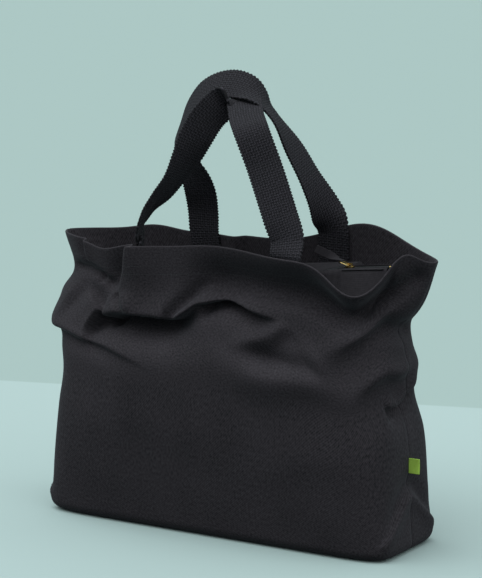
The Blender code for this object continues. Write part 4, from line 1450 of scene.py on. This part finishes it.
    def tooth(self, name: str) -> bpy.types.Object:
        """Model one turn of the nylon coil, as a ring that stands across the chain.

        Args:
            name: Name of the piece.

        Returns:
            The ring, at the origin.
        """
        deselect()
        bpy.ops.mesh.primitive_torus_add(
            major_radius=self.ring_radius, minor_radius=self.ring_wire, major_segments=8, minor_segments=5,
            rotation=(0.0, math.pi / 2, 0.0),
        )
        ring = named(name)
        bpy.ops.object.transform_apply(location=False, rotation=True, scale=False)
        return ring

    def teeth(self, side: Side) -> None:
        """Set the coil's turns along the edge of an open half.

        Args:
            side: The half.
        """
        label = side.label
        ring = self.tooth(f"zip_{label}_teeth")
        x = np.arange(
            -self.open_length + self.tooth_margin, -self.turn_start - self.tooth_margin, self.tooth_pitch
        )
        reach = np.full_like(x, self.coil_width / 2 + self.gap / 4)
        points = self.half_line(side, x, reach)
        up = self.half_line(side, x, reach, self.normal_step) - points
        repeat_on(ring, self.tooth_step, (points, np.gradient(points, axis=0), up))
        self.wardrobe.dress(ring, NYLON)
        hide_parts(f"zip_{label}_coil")
        self.join_half(ring)

    def shut_teeth(self) -> None:
        """Set the meshed turns of the shut end, one half's between the other's."""
        ring = self.tooth("zip_shut_teeth")
        start, end = self.meshed_start - self.turn_start, self.shut_length - self.meshed_end
        x = np.arange(start, end, self.tooth_pitch / 2)
        y = np.where(np.arange(len(x)) % 2, 1.0, -1.0) * self.coil_width * self.meshed_share
        points = self.to_world(np.column_stack([x, y, np.zeros_like(x)]))
        ahead, up = (np.tile(self.way(axis), (len(x), 1)) for axis in ((1.0, 0.0, 0.0), (0.0, 0.0, 1.0)))
        repeat_on(ring, self.tooth_step, (points, ahead, up))
        self.wardrobe.dress(ring, NYLON)
        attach(ring, "bag")
        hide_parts("zip_shut_coil")

    def shut_tape(self, side: Side) -> None:
        """Make a tape of the shut end.

        Args:
            side: The half.
        """
        label = side.label
        x = np.linspace(self.shut_tape_start - self.turn_start, self.shut_length, self.shut_tape_points)
        near, far = self.coil_width + self.gap, self.coil_width + self.tape_width
        y = side.value * np.linspace(far, near, self.shut_tape_rows + 1)
        places = np.array([np.column_stack([x, np.full_like(x, value), np.zeros_like(x)]) for value in y])
        places = self.to_world(places)
        if side is Side.BACK:
            places = places[::-1]
        size = (float(x[-1] - x[0]), far - near)
        tape = sheet_of(f"zip_{label}_shut_tape_cloth", places, size, self.tape, 0.0)
        self.wardrobe.dress(tape, ZIP_TAPE)
        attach(tape, "bag")
        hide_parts(f"zip_{label}_shut_tape")

    def clamp(self, name: str, line: Array, width: float) -> bpy.types.Object:
        """Press a small metal clamp round the end of the chain.

        Args:
            name: Name of the piece.
            line: Its middle in the zip's frame.
            width: Its size across the chain.

        Returns:
            The clamp.
        """
        deselect()
        bpy.ops.mesh.primitive_cube_add(size=1.0)
        made = named(name)
        move_points(made, points_of(made) * (self.stop_length, width, self.stop_height))
        round_edges = made.modifiers.new("pressed edges", "BEVEL")
        round_edges.width = self.stop_edge
        round_edges.segments = 3
        apply_all(made)
        bpy.ops.object.shade_smooth_by_angle(angle=SHARP_EDGE)
        move_points(made, self.to_world(points_of(made) + line))
        self.wardrobe.dress(made, BRASS)
        return made

    def end_stop(self, side: Side) -> None:
        """Press the stop on the far end of an open half.

        Args:
            side: The half.
        """
        label = side.label
        stop = self.clamp(f"zip_{label}_end_clamp", np.zeros((1, 3)), self.coil_width)
        local = self.to_zip(points_of(stop))
        x = np.array([-self.open_length - self.gap - self.stop_length / 2])
        reach = np.array([self.coil_width / 2 + self.gap])
        at = self.half_line(side, x, reach)
        out = self.half_line(side, x, reach - self.gap) - at
        up = self.half_line(side, x, reach, self.normal_step) - at
        along = unit(self.way((1.0, 0.0, 0.0)))
        frames = np.stack([along, unit(out)[0], unit(up)[0]])
        move_points(stop, at + local @ frames)
        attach(stop, f"{label}_zip_half")
        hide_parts(f"zip_{label}_end_stop")


@dataclass
class SliderPull:
    """The slider with its wire link and fabric tab."""

    zip_panel: ZipPanel
    wardrobe: Wardrobe
    pull_rise: float = math.radians(24.0)
    pivot_height: float = 0.0037
    link_length: float = 0.011
    link_wire: float = 0.0014
    tab_length: float = 0.034
    tab_width: float = 0.008
    tab_spread: float = 0.15
    tab_cloth: float = 0.0009
    tab_roll: float = math.radians(70.0)
    tab_lift: float = 0.0008
    tab_columns: int = 15
    tab_points: int = 120
    layer: float = 0.65 * MM
    eye_gap: float = 0.35 * MM
    eye_turn: float = 0.72 * math.pi
    eye_points: int = 15
    waist: float = 2.4
    waist_layer: float = 1.1
    spread_start: float = 0.003
    spread_length: float = 0.006
    curl: float = 1.6 * MM
    curl_start: float = 0.016
    roll_start: float = 0.002
    turn_length: float = 0.018
    slider_edge: float = 0.00035
    wire_levels: int = 2
    merge_distance: float = 1e-5
    flat_angle: float = math.radians(1.0)

    def build(self) -> None:
        """Make and dress all the pieces."""
        slider = self.smoothed("zip_slider", "slider_casting", self.slider_edge, 0)
        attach(slider, "slider")
        link = self.smoothed("pull_link", "pull_wire_link", 0.0, self.wire_levels)
        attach(link, "link")
        self.tab()

    def smoothed(self, source: str, name: str, edge: float, levels: int) -> bpy.types.Object:
        """Copy a CAD piece, merge its triangles and soften it.

        Args:
            source: The CAD node.
            name: Name of the new piece.
            edge: Width of its rounded edges, or 0.
            levels: Levels of smoothing, or 0.

        Returns:
            The piece.
        """
        pick_only(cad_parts[source])
        bpy.ops.object.duplicate()
        made = named(name)
        made.parent = None
        made.matrix_world = Matrix.Identity(4)
        pick_only(made)
        bpy.ops.object.mode_set(mode="EDIT")
        bpy.ops.mesh.select_all(action="SELECT")
        bpy.ops.mesh.remove_doubles(threshold=self.merge_distance)
        bpy.ops.mesh.dissolve_limited(angle_limit=self.flat_angle)
        bpy.ops.object.mode_set(mode="OBJECT")
        if edge:
            bevel = made.modifiers.new("rounded edges", "BEVEL")
            bevel.width = edge
            bevel.segments = 3
            bevel.limit_method = "ANGLE"
        if levels:
            smooth = made.modifiers.new("round wire", "SUBSURF")
            smooth.levels = smooth.render_levels = levels
        apply_all(made)
        bpy.ops.object.shade_smooth_by_angle(angle=SHARP_EDGE)
        self.wardrobe.dress(made, BRASS)
        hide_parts(source)
        return made

    def tab(self) -> None:
        """Fold a strip of cloth round the link and sew its two layers together."""
        eye = self.link_wire / 2 + self.eye_gap + self.tab_cloth / 2
        upper = [
            (-self.waist * eye, self.layer * self.waist_layer),
            (-self.tab_length * 0.5, self.layer),
            (-self.tab_length, self.layer),
        ]
        turns = np.linspace(-self.eye_turn, self.eye_turn, self.eye_points)
        loop = [(eye * math.cos(angle), eye * math.sin(angle)) for angle in turns]
        profile = [(x, -z) for x, z in upper[::-1]] + loop + upper
        path = smooth_line(np.array(profile), self.tab_points)
        across = np.linspace(-self.tab_width / 2, self.tab_width / 2, self.tab_columns)
        local = np.array([[(x, y, z) for y in across] for x, z in path])
        # Past the link it spreads to the full width of its folded cloth.
        local[..., 1] *= 1 + self.tab_spread * ease((-local[..., 0] - self.spread_start) / self.spread_length)
        # The free end curls up a little.
        free = ease((-local[..., 0] - self.curl_start) / self.turn_length)
        local[..., 2] += self.curl * free ** 2
        # It rolls on its length, past the link, so that one broad face turns to the front.
        roll = self.tab_roll * ease((-local[..., 0] - self.roll_start) / self.turn_length)
        y, z = local[..., 1].copy(), local[..., 2].copy()
        local[..., 1] = y * np.cos(roll) - z * np.sin(roll)
        local[..., 2] = y * np.sin(roll) + z * np.cos(roll)
        # A little lift keeps both its edges clear of the chain, to whichever side it is laid down.
        local[..., 2] += self.tab_lift * np.sin(roll)
        rise = np.array(Matrix.Rotation(self.pull_rise, 3, "Y"))
        local[..., 0] -= self.link_length
        placed = local @ rise.T + np.array([0.0, 0.0, self.pivot_height])
        places = self.zip_panel.to_world(placed)
        size = (self.tab_width, 2 * self.tab_length)
        cloth = sheet_of("pull_tab_cloth", places, size, self.tab_cloth, 0.0)
        self.wardrobe.dress(cloth, FACING)
        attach(cloth, "tab")
        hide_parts("pull_tab")


@dataclass
class SideLabel:
    """The small plain label in the right side seam: a folded ribbon."""

    form: BodyForm
    wardrobe: Wardrobe
    length: float = 0.012
    height: float = 0.017
    low: float = 0.089
    cloth: float = 0.0004
    layer: float = 0.35 * MM
    bulge: float = 1.4
    seat: float = 0.001
    sway: float = 0.8 * MM
    sway_turn: float = 3.0
    fold_points: int = 7
    path_points: int = 60
    rows: int = 24

    def build(self) -> None:
        """Fold the ribbon out of the seam and back."""
        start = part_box("side_label")[0][0]
        back = [(self.length * 0.5, self.layer * self.bulge), (-self.seat, self.layer)]
        turns = np.linspace(-0.5 * math.pi, 0.5 * math.pi, self.fold_points)
        fold = [
            (self.length - self.layer + self.layer * math.cos(angle), self.layer * math.sin(angle))
            for angle in turns
        ]
        profile = [(x, -y) for x, y in back[::-1]] + fold + back
        path = smooth_line(np.array(profile), self.path_points)
        rise = np.linspace(0.0, self.height, self.rows + 1)
        places = np.array([[(start + x, y, self.low + z) for x, y in path] for z in rise])
        # It sways a little along its free edge.
        sway = self.sway * np.sin(self.sway_turn * (places[..., 2] - self.low) / self.height)
        places[..., 1] += sway * ((places[..., 0] - start) / self.length)
        size = (2 * self.length, self.height)
        ribbon = sheet_of("side_label_ribbon", places, size, self.cloth, 0.0)
        self.wardrobe.dress(ribbon, RIBBON)
        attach(ribbon, "bag")
        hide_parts("side_label")


# Studio


@dataclass
class Studio:
    """Camera, floor and light."""

    camera_place: Point = (1.3759, -2.2061, 0.713)
    camera_aim: Point = (0.002, 0.0, 0.276)
    lens: float = 143.73
    sensor: float = 36.0
    clip_end: float = 200.0
    floor_size: float = 80.0
    floor_faces: int = 8
    floor_drop: float = 0.0005
    floor_roughness: float = 0.9
    floor_specular: float = 0.1
    near_floor: str = "#b4cecd"
    far_floor: str = "#a7c1be"
    line_point: Point = (-0.375, 0.605, 0.0)
    line_turn: float = math.radians(16.5)
    line_blur: float = 0.004
    hidden_floor: str = "#2c2c2c"
    key_from: Point = (-0.33, -0.29, 0.93)
    key_strength: float = 1.5
    fill_from: Point = (0.95, -0.10, 0.45)
    fill_strength: float = 0.55
    lamp_angle: float = math.radians(70.0)
    sky_low: float = 0.01
    sky_high: float = 0.86

    def build(self) -> None:
        """Set up the camera, the floor and the light."""
        self.camera()
        self.floor()
        self.light()
        bpy.context.scene.view_settings.view_transform = "Standard"

    def camera(self) -> None:
        """Put the camera where the photograph was taken from."""
        place, aim = Vector(self.camera_place), Vector(self.camera_aim)
        turn = (aim - place).to_track_quat("-Z", "Y").to_euler()
        deselect()
        bpy.ops.object.camera_add(location=place, rotation=turn)
        made = named("camera")
        made.data.lens = self.lens
        made.data.sensor_width = self.sensor
        made.data.clip_end = self.clip_end
        bpy.context.scene.camera = made

    def floor(self) -> None:
        """Lay a wide plain floor that is a shade darker beyond a line behind the bag."""
        deselect()
        bpy.ops.mesh.primitive_grid_add(
            x_subdivisions=self.floor_faces, y_subdivisions=self.floor_faces, size=self.floor_size,
            location=(0.0, 0.0, -self.floor_drop),
        )
        plane = named("floor")
        bpy.ops.object.transform_apply(location=True, rotation=False, scale=False)
        # Matt painted board: even and dull, with no shine to draw the eye.
        made, shader = blank_material("matt_painted_board")
        tree = made.node_tree
        place = node(tree, "ShaderNodeTexCoord").outputs["Object"]
        turned = node(
            tree, "ShaderNodeVectorRotate", {"rotation_type": "Z_AXIS"},
            {"Vector": place, "Center": self.line_point, "Angle": -self.line_turn},
        )
        y = node(tree, "ShaderNodeSeparateXYZ", None, {"Vector": turned.outputs["Vector"]}).outputs["Y"]
        line_y = self.line_point[1]
        beyond = node(
            tree, "ShaderNodeMapRange", None,
            {"Value": y, "From Min": line_y - self.line_blur, "From Max": line_y + self.line_blur},
        )
        colour = node(
            tree, "ShaderNodeMix", {"data_type": "RGBA"},
            {"Factor": beyond.outputs["Result"], MIX_A: srgb(self.near_floor), MIX_B: srgb(self.far_floor)},
        )
        # The board throws little of its own colour on the bag, so the cloth keeps a neutral black.
        shown = node(
            tree, "ShaderNodeMix", {"data_type": "RGBA"},
            {"Factor": self.seen(tree), MIX_A: srgb(self.hidden_floor), MIX_B: colour.outputs[MIX_RESULT]},
        )
        feed(tree, shader, {
            "Base Color": shown.outputs[MIX_RESULT],
            "Roughness": self.floor_roughness,
            "Specular IOR Level": self.floor_specular,
        })
        plane.data.materials.append(made)

    def seen(self, tree: bpy.types.NodeTree) -> bpy.types.NodeSocket:
        """Tell the rays that show a thing, straight, mirrored or through glass, from the rest.

        Args:
            tree: The node tree of a material or world.

        Returns:
            1 for such a ray and 0 for any other.
        """
        path = node(tree, "ShaderNodeLightPath")
        shown = path.outputs["Is Camera Ray"]
        for other in ("Is Glossy Ray", "Is Transmission Ray"):
            shown = node(
                tree, "ShaderNodeMath", {"operation": "MAXIMUM"}, {0: shown, 1: path.outputs[other]}
            ).outputs[0]
        return shown

    def lamp(self, name: str, place: Point, strength: float) -> None:
        """Hang a wide soft lamp far away.

        Args:
            name: Name of the lamp.
            place: Direction that its light comes from.
            strength: Its strength.
        """
        turn = (-Vector(place)).to_track_quat("-Z", "Y").to_euler()
        deselect()
        bpy.ops.object.light_add(type="SUN", rotation=turn)
        made = named(name)
        made.data.energy = strength
        made.data.angle = self.lamp_angle

    def light(self) -> None:
        """Light the bag from a bright ceiling, with a lamp at the left and a weak one at the right."""
        self.lamp("key_lamp", self.key_from, self.key_strength)
        self.lamp("fill_lamp", self.fill_from, self.fill_strength)
        world = bpy.data.worlds.new("studio")
        bpy.context.scene.world = world
        world.use_nodes = True
        tree = world.node_tree
        tree.nodes.clear()
        way = node(tree, "ShaderNodeTexCoord").outputs["Generated"]
        up = node(tree, "ShaderNodeSeparateXYZ", None, {"Vector": way}).outputs["Z"]
        ceiling = node(
            tree, "ShaderNodeMapRange", None, {"Value": up, "To Min": self.sky_low, "To Max": self.sky_high}
        )
        sky = node(
            tree, "ShaderNodeBackground", None,
            {"Color": srgb("#ffffff"), "Strength": ceiling.outputs["Result"]},
        )
        wall = node(tree, "ShaderNodeBackground", None, {"Color": srgb(self.far_floor), "Strength": 1.0})
        mixed = node(tree, "ShaderNodeMixShader", None, {
            0: self.seen(tree), 1: sky.outputs["Background"], 2: wall.outputs["Background"]
        })
        node(tree, "ShaderNodeOutputWorld", None, {"Surface": mixed.outputs[0]})


def main() -> None:
    """Build the bag, dress it and set up the studio."""
    logging.basicConfig(level=logging.INFO, format="%(message)s")
    Studio().build()
    wardrobe = Wardrobe()
    form = BodyForm()
    Walls(form, wardrobe).build()
    Handle(form, wardrobe, Side.FRONT, FRONT_ENDS, FRONT_ROUTE, lean=FRONT_LEAN).build()
    Handle(form, wardrobe, Side.BACK, BACK_ENDS, BACK_ROUTE).build()
    zip_panel = ZipPanel(form, wardrobe)
    zip_panel.build()
    SliderPull(zip_panel, wardrobe).build()
    SideLabel(form, wardrobe).build()


if __name__ == "__main__":
    main()
